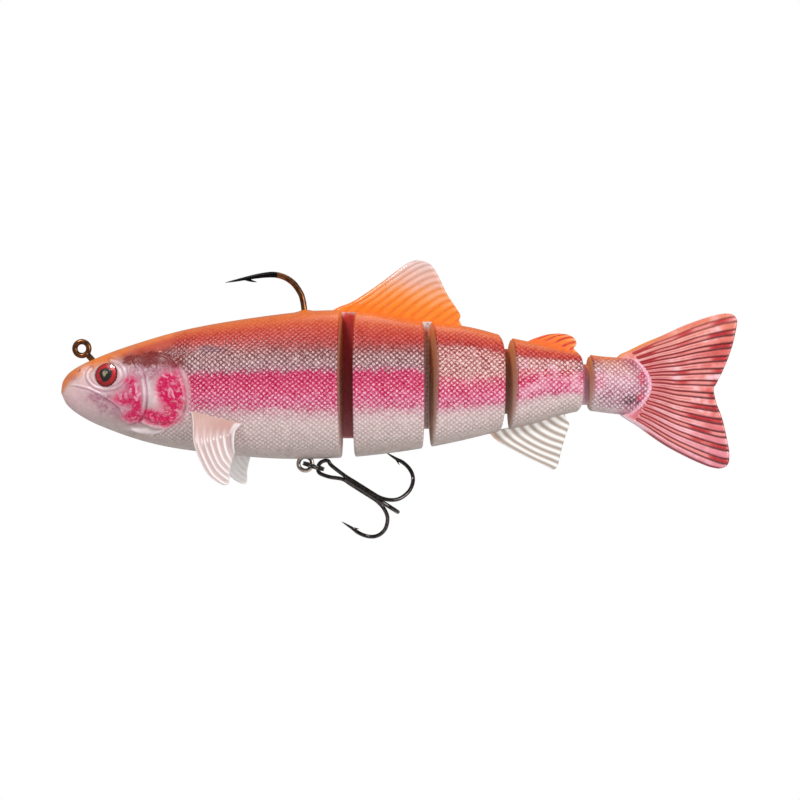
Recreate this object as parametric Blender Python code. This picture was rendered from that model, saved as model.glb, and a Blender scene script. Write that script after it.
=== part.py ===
"""Jointed soft swimbait: a trout-shaped body of five sections on thin webs, a top hook and a treble.

Lengths are in millimetres and are turned into metres where vertices are made.
Frame: the origin is the centre of the line eye, +X runs towards the tail, +Z towards the back,
and -Y is the side that faces a viewer who sees the head on the left.
"""

from math import cos, pi, radians, sin, tan

import bmesh
import bpy
from mathutils import Matrix, Vector
from mathutils.geometry import tessellate_polygon

MM = 0.001
GAP = 0.3

# Body outline: X against Z of the back line, the belly line and the half width.
BACK_LINE = [
    (-5.5, -11.6), (-4.7, -8.4), (-2.1, -5.6), (4.3, -2.4), (13.9, 1.1), (26.7, 4.8),
    (41, 7.5), (58.7, 9.8), (69.5, 10.2), (80, 9.3), (91.2, 7.4), (103.5, 5.7),
    (114.7, 2.8), (124, 0.9), (133.6, -1.3), (139, -2.1), (146, -2.5), (153, -2.6),
]
BELLY_LINE = [
    (-5.5, -11.8), (-3.7, -15.2), (1.1, -18.7), (7.5, -21.6), (17, -24.8), (26.7, -26.8),
    (44.3, -28.8), (56, -29.4), (69, -29.1), (80, -28.1), (91.2, -26.5), (100.3, -24.7),
    (109.9, -22.4), (120, -20.2), (128, -17.7), (134, -16.6), (140, -17.2), (147, -17.9), (153, -18),
]
HALF_WIDTH = [
    (-5.5, 0.1), (-4.7, 2.6), (-2.1, 4.7), (4.3, 7.0), (13.9, 8.9), (26.7, 10.2), (41, 10.9),
    (55, 11.0), (69, 10.8), (80, 10.3), (91.2, 9.5), (103.5, 8.3), (114.7, 7.0), (124, 5.9),
    (133.6, 4.8), (139, 3.9), (146, 2.5), (152, 1.0), (153, 0.9),
]
WIDEST_AT = 0.56  # height of the widest point, as a share of the body's depth
BACK_POWER = 2.2  # roundness of the upper and lower half of the cross-section
BELLY_POWER = 2.0
RING_LEVELS = 12  # steps of a cross-section from the back to the belly

# Rings along the sections. The front section's rings crowd towards the snout, and lean late.
FRONT_RINGS, FRONT_CROWDING, FRONT_LEAN_GROWTH = 30, 1.7, 8
MIDDLE_RINGS = 8
TAIL_RINGS = 12
SNOUT_BULGE = 0.05

# End faces of the sections: X at the middle plane, and how far the face leans away at the flank.
FRONT_REAR_FACE, FRONT_REAR_LEAN = 69.7, -1.3
SECTION_2_FACES = (72.5, 91.2)
SECTION_3_FACES, SECTION_3_LEAN = (92.4, 112.5), 2.6
SECTION_4_FACES, SECTION_4_LEAN = (113.3, 133.3), 2.7
TAIL_FACE, TAIL_LEAN = 134.4, 2.1
TAIL_END_MIDDLE, TAIL_END_HEIGHT, TAIL_END_BULGE = 151.9, -9.8, 0.088

# Webs between the sections, each seated in shallow pockets. A hinge is in the middle of its web.
WEB_HALF = 1.5
WEB_POCKET = 1.5
WEB_HEIGHTS = [(-23.9, 9.2), (-21.4, 6.4), (-17.4, -0.1), (-15.0, -4.2)]
WEB_SPANS = [
    (FRONT_REAR_FACE, SECTION_2_FACES[0]),
    (SECTION_2_FACES[1], SECTION_3_FACES[0]),
    (SECTION_3_FACES[1], SECTION_4_FACES[0]),
    (SECTION_4_FACES[1], TAIL_FACE),
]
HINGE_X = [(first + last) / 2 for first, last in WEB_SPANS]
TAIL_FIN_HINGE = 150.0

# Woven reinforcement panels in the middle plane: lowest and highest Z of each, and the two blind ends.
CORE_HALF = 0.3
CORE_HEIGHTS = [(-21, 6.5), (-20.5, 5), (-17, -0.5), (-14, -5), (-13.5, -5.5)]
CORE_FIRST_X, CORE_LAST_X = 62.4, 144

# The top hook's wire, from the line eye through the body, up through the back and forward to its point.
TOP_WIRE, TOP_SIDES = 0.78, 10
LINE_EYE_RADIUS, LINE_EYE_STEPS = 1.85, 24
TOP_HOOK_ROUTE = [
    (1.3, -1.4), (3.2, -3.5), (6.2, -7.2), (9.4, -10.4), (13.5, -12.2), (19, -12.6), (32, -12.6),
    (46, -12.6), (51.5, -11.8), (56.5, -8.2), (59.0, -2.5), (59.4, 4.0), (59.3, 9.9), (58.75, 13.5),
    (57.9, 15.4), (56.6, 17.2), (55.0, 18.5), (53.3, 19.3), (51.8, 19.65), (50.0, 19.7), (47.0, 19.35),
    (43.6, 18.7), (41.05, 18.15), (38.25, 17.6),
]
TOP_HOOK_STEPS, TOP_POINT_STEPS = 4, 7

# The lead ballast on the hook's shank: middle, and half sizes.
BALLAST_MIDDLE = Vector((29.5, 0, -16.4))
BALLAST_SIZE = Vector((16.5, 4.6, 6.2))
BALLAST_SIDES, BALLAST_RINGS = 18, 12

# The belly wire and its ring, the split ring and the treble hook.
RIG_WIRE, RIG_SIDES = 0.55, 8
BELLY_WIRE_ROUTE = [
    (59.57, -28.6), (59.57, -25.0), (58.6, -21.6), (55.5, -19.6), (51.0, -19.0), (47.2, -19.0),
]
BELLY_WIRE_STEPS = 3
BELLY_RING_CENTRE = (59.57, -30.67)
BELLY_RING_RADIUS, BELLY_RING_STEPS = 1.84, 22
SPLIT_RING_RADIUS = 2.6
SPLIT_RING_TILT = radians(17)
SPLIT_RING_OFFSET = -0.3
SPLIT_COIL_WIDTH, SPLIT_COIL_THICK, SPLIT_COIL_STEP = 0.75, 0.5, 0.56
SPLIT_STEP_ANGLE, SPLIT_END_GAP, SPLIT_FIRST_ANGLE = radians(38), radians(6), radians(100)
SPLIT_RING_STEPS = 64
TREBLE_EYE_CENTRE = (64.85, -31.95)
TREBLE_EYE_RADIUS = 2.0
TREBLE_EYE_OPENING = radians(58)
TREBLE_EYE_STEPS = 15
TREBLE_TILT = radians(32.2)
TREBLE_START = Vector((68.8, 0, -33.76))
TREBLE_FIRST_HOOK = radians(27)
TREBLE_DOUBLE_FIRST, TREBLE_THIRD_FIRST, TREBLE_SHANK_END = 1.2, 1.8, 9.6
TREBLE_BUNDLE = 0.72  # distance of each wire from the middle of the shank
# One treble hook, as distance along the shank from its eye end and distance out from the shank.
TREBLE_HOOK = [
    (12.0, 0.8), (14.4, 1.45), (16.3, 2.85), (17.35, 4.6), (17.95, 6.95), (17.75, 9.1),
    (17.0, 10.8), (15.8, 12.0), (14.2, 12.75), (12.3, 13.05), (10.3, 12.9), (7.0, 12.9),
]
TREBLE_STEPS, TREBLE_POINT_STEPS = 2, 4

# Hook points: how thin the wire ends, the taper's curve, the barb's height as a share of the wire,
# and how many rings of the wire a barb takes.
POINT_END, POINT_CURVE, BARB_RISE, BARB_RINGS = 0.06, 0.7, 1.1, 3

# Eyes: an iris disc, a pupil disc and a clear dome in a round socket.
EYE_CENTRE = (7.7, -7.0)
EYE_RADIUS = 3.05
EYE_YAW, EYE_LIFT = radians(14), radians(10)
EYE_DEPTH, SOCKET_TOP = 1.3, 4
IRIS_THICK, PUPIL_THICK, PUPIL_RADIUS = 0.5, 0.2, 1.75
LENS_EDGE, LENS_RISE, LENS_STEPS, EYE_GAP = 0.15, 1.1, 4, 0.1
EYE_SIDES, PUPIL_SIDES = 28, 20

# Fins: outlines as X and Z, and the plate thickness. Fins that cross a gap are cut there.
FIN_THICK = 1.0
FIN_ROOT_POINTS, FIN_ROOT_CLEAR = 7, 0.25
DORSAL_EDGE = [
    (66.1, 10.6), (72.8, 12.9), (79.7, 17.5), (86.4, 22.4), (89.6, 23.6), (92.8, 22.5),
    (94.8, 19.7), (97.3, 14.7), (99.5, 11.2), (101.0, 8.8), (101.1, 6.6),
]
DORSAL_PARTS = [
    ("dorsal_fin_front", 66.1, 69.3),
    ("dorsal_fin_middle", 72.9, 90.9),
    ("dorsal_fin_rear", 92.8, 102),
]
ADIPOSE_EDGE = [
    (119.0, 2.3), (124.0, 3.7), (128.5, 4.0), (131.2, 2.9), (131.7, 1.2), (131.0, 0.4), (131.9, -0.6),
]
ADIPOSE_PARTS = [("adipose_fin", 118, 131.9)]
ANAL_EDGE = [
    (108.9, -23.1), (111.8, -25.3), (118.4, -28.7), (125.2, -32.2), (126.6, -30.9),
    (128.5, -23.1), (129.7, -20.1), (128.6, -18.0),
]
ANAL_PARTS = [("anal_fin_front", 108.9, 112.2), ("anal_fin_rear", 113.8, 130)]
TAIL_EDGE = [
    (142.5, -1.6), (145.1, -0.5), (149.9, 1.7), (154.7, 3.7), (161.1, 6.6), (167.5, 8.8),
    (171.6, 9.8), (174.2, 9.1), (174.4, 6.4), (172.3, -2.4), (170.7, -6.2), (169.1, -9.4),
    (168.4, -10.8), (169.1, -14.4), (170.7, -18.7), (172.2, -25.3), (172.6, -28.5),
    (172.2, -30.7), (170.7, -31.9), (167.5, -31.7), (161.1, -29.1), (154.7, -25.6),
    (148.3, -21.1), (143.6, -18.8),
]
TAIL_ROOT_HEIGHTS, TAIL_ROOT_POINTS, TAIL_ROOT_GAP = (-18.3, -2.1), 9, 1.2 * GAP
PECTORAL_EDGE = [
    (30.7, -18.3), (31.5, -24.1), (33.0, -27.9), (35.4, -32.4), (37.9, -34.4), (39.8, -35.5),
    (40.9, -35.0), (40.7, -32.7), (41.2, -29.0), (42.4, -27.4), (42.8, -24.1), (42.1, -21.3),
    (43.5, -20.0),
]
PECTORAL_ROOT = [(43.4, -19.0), (36.9, -18.1), (30.7, -16.8)]
PECTORAL_OUT, PECTORAL_SPLAY = 11.6, tan(radians(12))

AXIS_SIZE = 0.01
SMOOTH_ANGLE = radians(40)
HALVINGS = 40  # of the search for the skin's angle at a height
FACE_SETTLING = 4  # rounds that bring a ring's points onto its end face
NARROW_SHARE = 0.6  # where a face is narrower than its web, the share that stays flat


def profile(points):
    """A smooth function through (x, value) points."""
    xs = [p[0] for p in points]
    ys = [p[1] for p in points]
    last = len(xs) - 1
    slopes = []
    for i in range(last + 1):
        a = max(i - 1, 0)
        b = min(i + 1, last)
        slopes.append((ys[b] - ys[a]) / (xs[b] - xs[a]))

    def value(x):
        x = min(max(x, xs[0]), xs[-1])
        i = max(k for k in range(last) if xs[k] <= x)
        span = xs[i + 1] - xs[i]
        t = (x - xs[i]) / span
        rise = t * t * (3 - 2 * t)
        start = t * (1 - t) ** 2
        stop = t * t * (t - 1)
        return ys[i] * (1 - rise) + ys[i + 1] * rise + span * (slopes[i] * start + slopes[i + 1] * stop)

    return value


back = profile(BACK_LINE)
belly = profile(BELLY_LINE)
half_width = profile(HALF_WIDTH)


def skin_point(x, angle):
    """Y and Z of the body's skin at X; angle is 90 degrees at the back and -90 at the belly."""
    top = back(x)
    bottom = belly(x)
    middle = bottom + (top - bottom) * WIDEST_AT
    power = BACK_POWER if angle >= 0 else BELLY_POWER
    reach = top - middle if angle >= 0 else middle - bottom
    y = half_width(x) * abs(cos(angle)) ** (2 / power)
    z = middle + reach * abs(sin(angle)) ** (2 / power) * (1 if angle >= 0 else -1)
    return y, z


def skin_y(x, z):
    """Half width of the body at X and height Z."""
    low = -pi / 2
    high = pi / 2
    for _ in range(HALVINGS):
        angle = (low + high) / 2
        if skin_point(x, angle)[1] < z:
            low = angle
        else:
            high = angle
    return skin_point(x, (low + high) / 2)[0]


def smooth_path(points, steps):
    """Points on a smooth curve through the given points, with a number of steps between each pair."""
    points = [Vector(p) for p in points]
    path = []
    for i in range(len(points) - 1):
        before = points[max(i - 1, 0)]
        a = points[i]
        b = points[i + 1]
        after = points[min(i + 2, len(points) - 1)]
        for k in range(steps):
            t = k / steps
            path.append(
                0.5 * (2 * a + (b - before) * t + (2 * before - 5 * a + 4 * b - after) * t ** 2
                       + (3 * a - before - 3 * b + after) * t ** 3)
            )
    path.append(points[-1])
    return path


def material(name, colour, roughness, metallic=0.0, alpha=1.0):
    made = bpy.data.materials.new(name)
    made.use_nodes = True
    shader = made.node_tree.nodes["Principled BSDF"]
    shader.inputs["Base Color"].default_value = (*colour, 1)
    shader.inputs["Roughness"].default_value = roughness
    shader.inputs["Metallic"].default_value = metallic
    shader.inputs["Alpha"].default_value = alpha
    return made


def add_object(name, shape, surface=None, smooth=True):
    """An object from a bmesh in millimetres."""
    bmesh.ops.recalc_face_normals(shape, faces=shape.faces)
    bmesh.ops.scale(shape, vec=(MM, MM, MM), verts=shape.verts)
    mesh = bpy.data.meshes.new(name)
    shape.to_mesh(mesh)
    shape.free()
    made = bpy.data.objects.new(name, mesh)
    bpy.context.scene.collection.objects.link(made)
    if surface:
        mesh.materials.append(surface)
    if smooth:
        mesh.shade_smooth()
        mesh.set_sharp_from_angle(angle=SMOOTH_ANGLE)
    return made


def make_cutter(cutter):
    cutter.hide_render = True
    cutter.display_type = "WIRE"
    return cutter


def combine(target, tool, operation):
    """Adds an exact Boolean modifier and turns the tool into a guide."""
    change = target.modifiers.new(operation.lower(), "BOOLEAN")
    change.operation = operation
    change.object = make_cutter(tool)
    return target


def add_ring(shape, points):
    return [shape.verts.new(p) for p in points]


def join_rings(shape, first, second):
    count = len(first)
    for i in range(count):
        j = (i + 1) % count
        shape.faces.new((first[i], first[j], second[j], second[i]))


def body_ring(station):
    """One ring of skin points, down the +Y side from the back and up the -Y side from the belly.

    station turns Y and Z into X, so that a ring can follow a leaning or bulging end face.
    """
    right = []
    for level in range(RING_LEVELS + 1):
        angle = pi / 2 - pi * level / RING_LEVELS
        x = station(0, TAIL_END_HEIGHT)
        for _ in range(FACE_SETTLING):
            y, z = skin_point(x, angle)
            x = station(y, z)
        if level in (0, RING_LEVELS):
            y = 0
        right.append(Vector((x, y, z)))
    left = [Vector((p.x, -p.y, p.z)) for p in right[-2:0:-1]]
    return right + left


def close_face(shape, ring):
    """Closes an end ring with strips, so that the face is flat over the web and leans beyond it."""
    count = len(ring)
    rows = []
    for level in range(1, RING_LEVELS):
        right = ring[level]
        left = ring[count - level]
        inner = min(WEB_HALF, right.co.y * NARROW_SHARE)
        nearness = (inner / right.co.y) if right.co.y > WEB_HALF else 1
        x = face_x(right, ring[0], nearness)
        rows.append([
            left,
            shape.verts.new((x, -inner, right.co.z)),
            shape.verts.new((x, inner, right.co.z)),
            right,
        ])
    for above, below in zip(rows, rows[1:]):
        for i in range(3):
            shape.faces.new((above[i], above[i + 1], below[i + 1], below[i]))
    for i in range(3):
        shape.faces.new((ring[0], rows[0][i], rows[0][i + 1]))
        shape.faces.new((ring[RING_LEVELS], rows[-1][i + 1], rows[-1][i]))


def face_x(flank, top, nearness):
    """X of an end face where it starts to lean: the middle plane's X, unless the flank is nearer."""
    return top.co.x if nearness < 1 else flank.co.x


def leaning_face(x, lean, half):
    """X of an end face at a distance from the middle plane, flat over the web and leaning beyond it."""
    def station(y, z):
        return x + lean * max(abs(y) - WEB_HALF, 0) / (half - WEB_HALF)
    return station


def bulging_end(y, z):
    """X of the tail section's rear edge."""
    return TAIL_END_MIDDLE - TAIL_END_BULGE * (z - TAIL_END_HEIGHT) ** 2


def between(front, rear, share):
    def station(y, z):
        return front(y, z) * (1 - share) + rear(y, z) * share
    return station


def add_section(name, front, rear, rings, surface):
    """A body section whose rings run from one end face to the other."""
    shape = bmesh.new()
    made = [add_ring(shape, body_ring(between(front, rear, i / (rings - 1)))) for i in range(rings)]
    for first, second in zip(made, made[1:]):
        join_rings(shape, first, second)
    close_face(shape, made[0])
    close_face(shape, made[-1])
    return add_object(name, shape, surface)


def add_front_section(surface):
    """The head and front body: a rounded snout, and a leaning rear face."""
    shape = bmesh.new()
    nose = BACK_LINE[0][0]
    rear = leaning_face(FRONT_REAR_FACE, FRONT_REAR_LEAN, half_width(FRONT_REAR_FACE))
    rings = []
    for i in range(1, FRONT_RINGS):
        share = (i / FRONT_RINGS) ** FRONT_CROWDING
        x = nose + (FRONT_REAR_FACE - nose) * share
        lean = FRONT_REAR_LEAN * share ** FRONT_LEAN_GROWTH
        rings.append(add_ring(shape, body_ring(leaning_face(x, lean, half_width(FRONT_REAR_FACE)))))
    rings.append(add_ring(shape, body_ring(rear)))
    for first, second in zip(rings, rings[1:]):
        join_rings(shape, first, second)
    tip = shape.verts.new((nose - SNOUT_BULGE, 0, (BACK_LINE[0][1] + BELLY_LINE[0][1]) / 2))
    for i in range(len(rings[0])):
        shape.faces.new((tip, rings[0][(i + 1) % len(rings[0])], rings[0][i]))
    close_face(shape, rings[-1])
    return add_object("front_section", shape, surface)


def add_tail_section(surface):
    """The tail section: a leaning front face, and a thin bulging rear edge."""
    front = leaning_face(TAIL_FACE, TAIL_LEAN, half_width(TAIL_FACE))
    return add_section("tail_section", front, bulging_end, TAIL_RINGS, surface)


def box_shape(low, high):
    shape = bmesh.new()
    bmesh.ops.create_cube(shape, size=1)
    middle = [(a + b) / 2 for a, b in zip(low, high)]
    size = [b - a for a, b in zip(low, high)]
    bmesh.ops.scale(shape, vec=size, verts=shape.verts)
    bmesh.ops.translate(shape, vec=middle, verts=shape.verts)
    return shape


def cut_box(target, low, high):
    tool = add_object(f"{target.name}_pocket_{len(target.modifiers)}", box_shape(low, high), smooth=False)
    return combine(target, tool, "DIFFERENCE")


def sweep_shape(points, radius, sides, closed=False):
    """A round wire along points; radius is a number, or a function of a point's number."""
    shape = bmesh.new()
    count = len(points)
    rings = []
    side = None
    for i, point in enumerate(points):
        after = points[(i + 1) % count] if closed else points[min(i + 1, count - 1)]
        before = points[i - 1] if closed or i else points[0]
        ahead = (after - before).normalized()
        if side is None:
            side = Vector((0, 1, 0)).cross(ahead).normalized()
        side = (side - ahead * side.dot(ahead)).normalized()
        up = ahead.cross(side)
        r = radius(i) if callable(radius) else radius
        turns = [2 * pi * k / sides for k in range(sides)]
        rings.append(add_ring(shape, [point + (side * cos(t) + up * sin(t)) * r for t in turns]))
    for first, second in zip(rings, rings[1:]):
        join_rings(shape, first, second)
    if closed:
        join_rings(shape, rings[-1], rings[0])
    else:
        shape.faces.new(rings[0])
        shape.faces.new(list(reversed(rings[-1])))
    return shape, rings


def point_radius(radius, count, point_steps, both_ends=False):
    """The radius along a wire that tapers to a point at its last end, or at both."""
    def taper(i):
        left = min(i, count - 1 - i) if both_ends else count - 1 - i
        return radius * min(max(left / point_steps, POINT_END), 1) ** POINT_CURVE
    return taper


def raise_barb(rings, first, step, towards, rise):
    """Pulls one corner of a few rings out towards the shank, most at the first ring."""
    for k in range(BARB_RINGS):
        ring = rings[first + k * step]
        corner = max(ring, key=lambda vertex: vertex.co.dot(towards))
        corner.co += towards * rise * (1 - k / BARB_RINGS)


def ring_points(centre, radius, count):
    """Points on a circle in the XZ plane."""
    middle = Vector((centre[0], 0, centre[1]))
    turns = [2 * pi * k / count for k in range(count)]
    return [middle + radius * Vector((cos(turn), 0, sin(turn))) for turn in turns]


def route(points, steps):
    return smooth_path([(x, 0, z) for x, z in points], steps)


def top_hook_shapes(grow):
    """The hook's wire and its line eye, grown all round by a clearance."""
    points = route(TOP_HOOK_ROUTE, TOP_HOOK_STEPS)
    radius = TOP_WIRE + grow
    if not grow:
        radius = point_radius(TOP_WIRE, len(points), TOP_POINT_STEPS)
    wire, rings = sweep_shape(points, radius, TOP_SIDES)
    if not grow:
        barb = -TOP_POINT_STEPS - BARB_RINGS
        raise_barb(rings, barb, 1, Vector((0, 0, -1)), BARB_RISE * TOP_WIRE)
    centre_line = ring_points((0, 0), LINE_EYE_RADIUS, LINE_EYE_STEPS)
    eye, _ = sweep_shape(centre_line, TOP_WIRE + grow, TOP_SIDES, closed=True)
    return wire, eye


def belly_wire_shapes(grow):
    wire, _ = sweep_shape(route(BELLY_WIRE_ROUTE, BELLY_WIRE_STEPS), RIG_WIRE + grow, RIG_SIDES)
    centre_line = ring_points(BELLY_RING_CENTRE, BELLY_RING_RADIUS, BELLY_RING_STEPS)
    ring, _ = sweep_shape(centre_line, RIG_WIRE + grow, RIG_SIDES, closed=True)
    return wire, ring


def ballast_shape(grow):
    shape = bmesh.new()
    bmesh.ops.create_uvsphere(shape, u_segments=BALLAST_SIDES, v_segments=BALLAST_RINGS, radius=1)
    turn = Matrix.Rotation(pi / 2, 4, "Y")
    bmesh.ops.transform(shape, matrix=turn, verts=shape.verts)
    bmesh.ops.scale(shape, vec=BALLAST_SIZE + Vector((grow, grow, grow)), verts=shape.verts)
    bmesh.ops.translate(shape, vec=BALLAST_MIDDLE, verts=shape.verts)
    return shape


def turned_shape(outline, sides, matrix):
    """A solid of revolution about local Z, from an outline that starts and ends on the axis."""
    shape = bmesh.new()
    base = shape.verts.new((0, 0, outline[0][1]))
    top = shape.verts.new((0, 0, outline[-1][1]))
    rings = []
    for r, z in outline[1:-1]:
        rings.append(add_ring(shape, [
            (r * cos(2 * pi * k / sides), r * sin(2 * pi * k / sides), z) for k in range(sides)
        ]))
    for first, second in zip(rings, rings[1:]):
        join_rings(shape, first, second)
    for k in range(sides):
        j = (k + 1) % sides
        shape.faces.new((base, rings[0][j], rings[0][k]))
        shape.faces.new((top, rings[-1][k], rings[-1][j]))
    bmesh.ops.transform(shape, matrix=matrix, verts=shape.verts)
    return shape


def eye_frame(side):
    """Places local Z along the eye's outward axis; side is -1 for the -Y flank and 1 for the other."""
    outward = Vector((-sin(EYE_YAW), side * cos(EYE_YAW) * cos(EYE_LIFT), sin(EYE_LIFT))).normalized()
    x, z = EYE_CENTRE
    seat = Vector((x, side * skin_y(x, z), z))
    return Matrix.Translation(seat) @ outward.to_track_quat("Z", "Y").to_matrix().to_4x4()


def disc_outline(radius, low, high):
    return [(0, low), (radius, low), (radius, high), (0, high)]


def add_eye(side, front, materials):
    """An iris disc, a pupil disc and a clear domed lens in a round socket."""
    word = "left" if side < 0 else "right"
    frame = eye_frame(side)
    socket = turned_shape(disc_outline(EYE_RADIUS + GAP, -EYE_DEPTH, SOCKET_TOP), EYE_SIDES, frame)
    combine(front, add_object(f"eye_socket_{word}", socket), "DIFFERENCE")
    base = GAP - EYE_DEPTH
    iris_top = base + IRIS_THICK
    pupil_base = iris_top + EYE_GAP
    pupil_top = pupil_base + PUPIL_THICK
    iris = turned_shape(disc_outline(EYE_RADIUS, base, iris_top), EYE_SIDES, frame)
    add_object(f"eye_iris_{word}", iris, materials["iris"])
    pupil = turned_shape(disc_outline(PUPIL_RADIUS, pupil_base, pupil_top), PUPIL_SIDES, frame)
    add_object(f"eye_pupil_{word}", pupil, materials["pupil"])
    foot = pupil_top + EYE_GAP
    dome = [(0, foot), (EYE_RADIUS, foot)]
    for k in range(1, LENS_STEPS):
        angle = k / LENS_STEPS * pi / 2
        dome.append((EYE_RADIUS * cos(angle), foot + LENS_EDGE + LENS_RISE * sin(angle)))
    dome.append((0, foot + LENS_EDGE + LENS_RISE))
    add_object(f"eye_lens_{word}", turned_shape(dome, EYE_SIDES, frame), materials["lens"])


def plate_shape(outline, thick, tilt=None):
    """A plate of constant thickness from an outline in X and Z; tilt gives the middle's Y."""
    shape = bmesh.new()
    layers = []
    for side in (-1, 1):
        ring = []
        for x, z in outline:
            y = tilt(x, z) if tilt else 0
            ring.append(shape.verts.new((x, y + side * thick / 2, z)))
        layers.append(ring)
    join_rings(shape, layers[0], layers[1])
    flat = [Vector((x, z, 0)) for x, z in outline]
    for corners in tessellate_polygon([flat]):
        for ring in layers:
            shape.faces.new([ring[k] for k in corners])
    return shape


def smooth_edge(points, steps):
    return [(p.x, p.z) for p in route(points, steps)]


def clip(points, low, high):
    """The part of an edge between two X values, with its ends cut off exactly there."""
    kept = []
    for a, b in zip(points, points[1:]):
        for limit in sorted((low, high), reverse=b[0] < a[0]):
            if (a[0] - limit) * (b[0] - limit) < 0:
                share = (limit - a[0]) / (b[0] - a[0])
                kept.append((limit, a[1] + (b[1] - a[1]) * share))
        if low <= b[0] <= high:
            kept.append(b)
    if low <= points[0][0] <= high:
        kept.insert(0, points[0])
    return kept


def base_points(line, first, last, lift, count):
    """Points along a body line between two X values, moved off the skin by lift."""
    return [
        (first + (last - first) * k / (count - 1), line(first + (last - first) * k / (count - 1)) + lift)
        for k in range(count)
    ]


def add_back_fins(edge, parts, line, lift, surface):
    """Fin plates on the back or belly line, each between two X values."""
    for name, low, high in parts:
        rim = clip(smooth_edge(edge, 3), low, high)
        first = max(low, rim[0][0])
        last = min(high, rim[-1][0])
        root = base_points(line, first, last, lift, FIN_ROOT_POINTS)
        for end in (rim[0], rim[-1]):
            root = [p for p in root if (Vector(p) - Vector(end)).length > FIN_ROOT_CLEAR]
        add_object(name, plate_shape(rim + root[::-1], FIN_THICK), surface, smooth=False)


def add_tail_fin(surface):
    low, high = TAIL_ROOT_HEIGHTS
    root = []
    for k in range(TAIL_ROOT_POINTS):
        z = low + (high - low) * k / (TAIL_ROOT_POINTS - 1)
        root.append((bulging_end(0, z) + TAIL_ROOT_GAP, z))
    outline = smooth_edge(TAIL_EDGE, 2) + root
    return add_object("tail_fin", plate_shape(outline, FIN_THICK), surface, smooth=False)


def add_pectoral(side, surface):
    word = "left" if side < 0 else "right"
    rim = smooth_edge(PECTORAL_EDGE, 2) + smooth_edge(PECTORAL_ROOT, 2)

    def tilt(x, z):
        return side * (PECTORAL_OUT + PECTORAL_SPLAY * (PECTORAL_ROOT[0][1] - z))

    return add_object(f"pectoral_fin_{word}", plate_shape(rim, FIN_THICK, tilt), surface, smooth=False)


def add_web(number, surface):
    """The thin plate that joins two sections, its ends seated in shallow pockets."""
    low, high = WEB_HEIGHTS[number]
    first, last = WEB_SPANS[number]
    shape = box_shape(
        (first - WEB_POCKET + GAP, -WEB_HALF, low),
        (last + WEB_POCKET - GAP, WEB_HALF, high),
    )
    return add_object(f"hinge_web_{number + 1}", shape, surface, smooth=False)


def cut_web_pocket(section, number, at_rear):
    """Cuts the seat for a web's end into a section's end face."""
    low, high = WEB_HEIGHTS[number]
    first, last = WEB_SPANS[number]
    span = (first - WEB_POCKET, last) if at_rear else (first, last + WEB_POCKET)
    cut_box(section, (span[0], -WEB_HALF - GAP, low - GAP), (span[1], WEB_HALF + GAP, high + GAP))


def add_cores(sections, surface):
    """Woven panels in slots that open into the web pockets; a blind end keeps a gap."""
    starts = [CORE_FIRST_X + GAP] + [last + WEB_POCKET for _, last in WEB_SPANS]
    stops = [first - WEB_POCKET for first, _ in WEB_SPANS] + [CORE_LAST_X - GAP]
    names = ["front", "2", "3", "4", "tail"]
    for number, section in enumerate(sections):
        low, high = CORE_HEIGHTS[number]
        cut_box(
            section,
            (starts[number] - GAP, -CORE_HALF - GAP, low - GAP),
            (stops[number] + GAP, CORE_HALF + GAP, high + GAP),
        )
        shape = box_shape((starts[number], -CORE_HALF, low), (stops[number], CORE_HALF, high))
        add_object(f"woven_core_{names[number]}", shape, surface, smooth=False)


def add_split_ring(surface):
    """Two flat coils of one wire, with a step from one coil to the other."""
    along = Vector((cos(SPLIT_RING_TILT), 0, -sin(SPLIT_RING_TILT)))
    axis = Vector((sin(SPLIT_RING_TILT), 0, cos(SPLIT_RING_TILT)))
    across = Vector((0, 1, 0))
    belly_eye = Vector((BELLY_RING_CENTRE[0], 0, BELLY_RING_CENTRE[1]))
    centre = belly_eye + along * (SPLIT_RING_OFFSET + SPLIT_RING_RADIUS)
    turn = 4 * pi - SPLIT_STEP_ANGLE - SPLIT_END_GAP
    shape = bmesh.new()
    rings = []
    for k in range(SPLIT_RING_STEPS):
        t = turn * k / (SPLIT_RING_STEPS - 1)
        stepped = min(max((t - (2 * pi - SPLIT_STEP_ANGLE)) / SPLIT_STEP_ANGLE, 0), 1)
        level = SPLIT_COIL_STEP * (stepped * stepped * (3 - 2 * stepped) - 0.5)
        angle = t + SPLIT_FIRST_ANGLE
        out = along * cos(angle) + across * sin(angle)
        middle = centre + out * SPLIT_RING_RADIUS + axis * level
        corners = [(-1, -1), (1, -1), (1, 1), (-1, 1)]
        rings.append(add_ring(shape, [
            middle + out * a * SPLIT_COIL_WIDTH / 2 + axis * b * SPLIT_COIL_THICK / 2 for a, b in corners
        ]))
    for first, second in zip(rings, rings[1:]):
        join_rings(shape, first, second)
    shape.faces.new(rings[0])
    shape.faces.new(list(reversed(rings[-1])))
    return add_object("split_ring", shape, surface)


def treble_outward(angle):
    """The direction from the shank to a hook's point; the shank leans back and down."""
    normal = Vector((sin(TREBLE_TILT), 0, cos(TREBLE_TILT)))
    return normal * cos(angle) + Vector((0, 1, 0)) * sin(angle)


def treble_hook_points(angle, first):
    """One hook of the treble, from a distance along the shank to its point."""
    along = Vector((cos(TREBLE_TILT), 0, -sin(TREBLE_TILT)))
    shank = [(first + (TREBLE_SHANK_END - first) * k / 2, TREBLE_BUNDLE) for k in range(3)]
    route_points = [
        TREBLE_START + along * s + treble_outward(angle) * r for s, r in shank + TREBLE_HOOK
    ]
    return smooth_path(route_points, TREBLE_STEPS)


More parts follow.
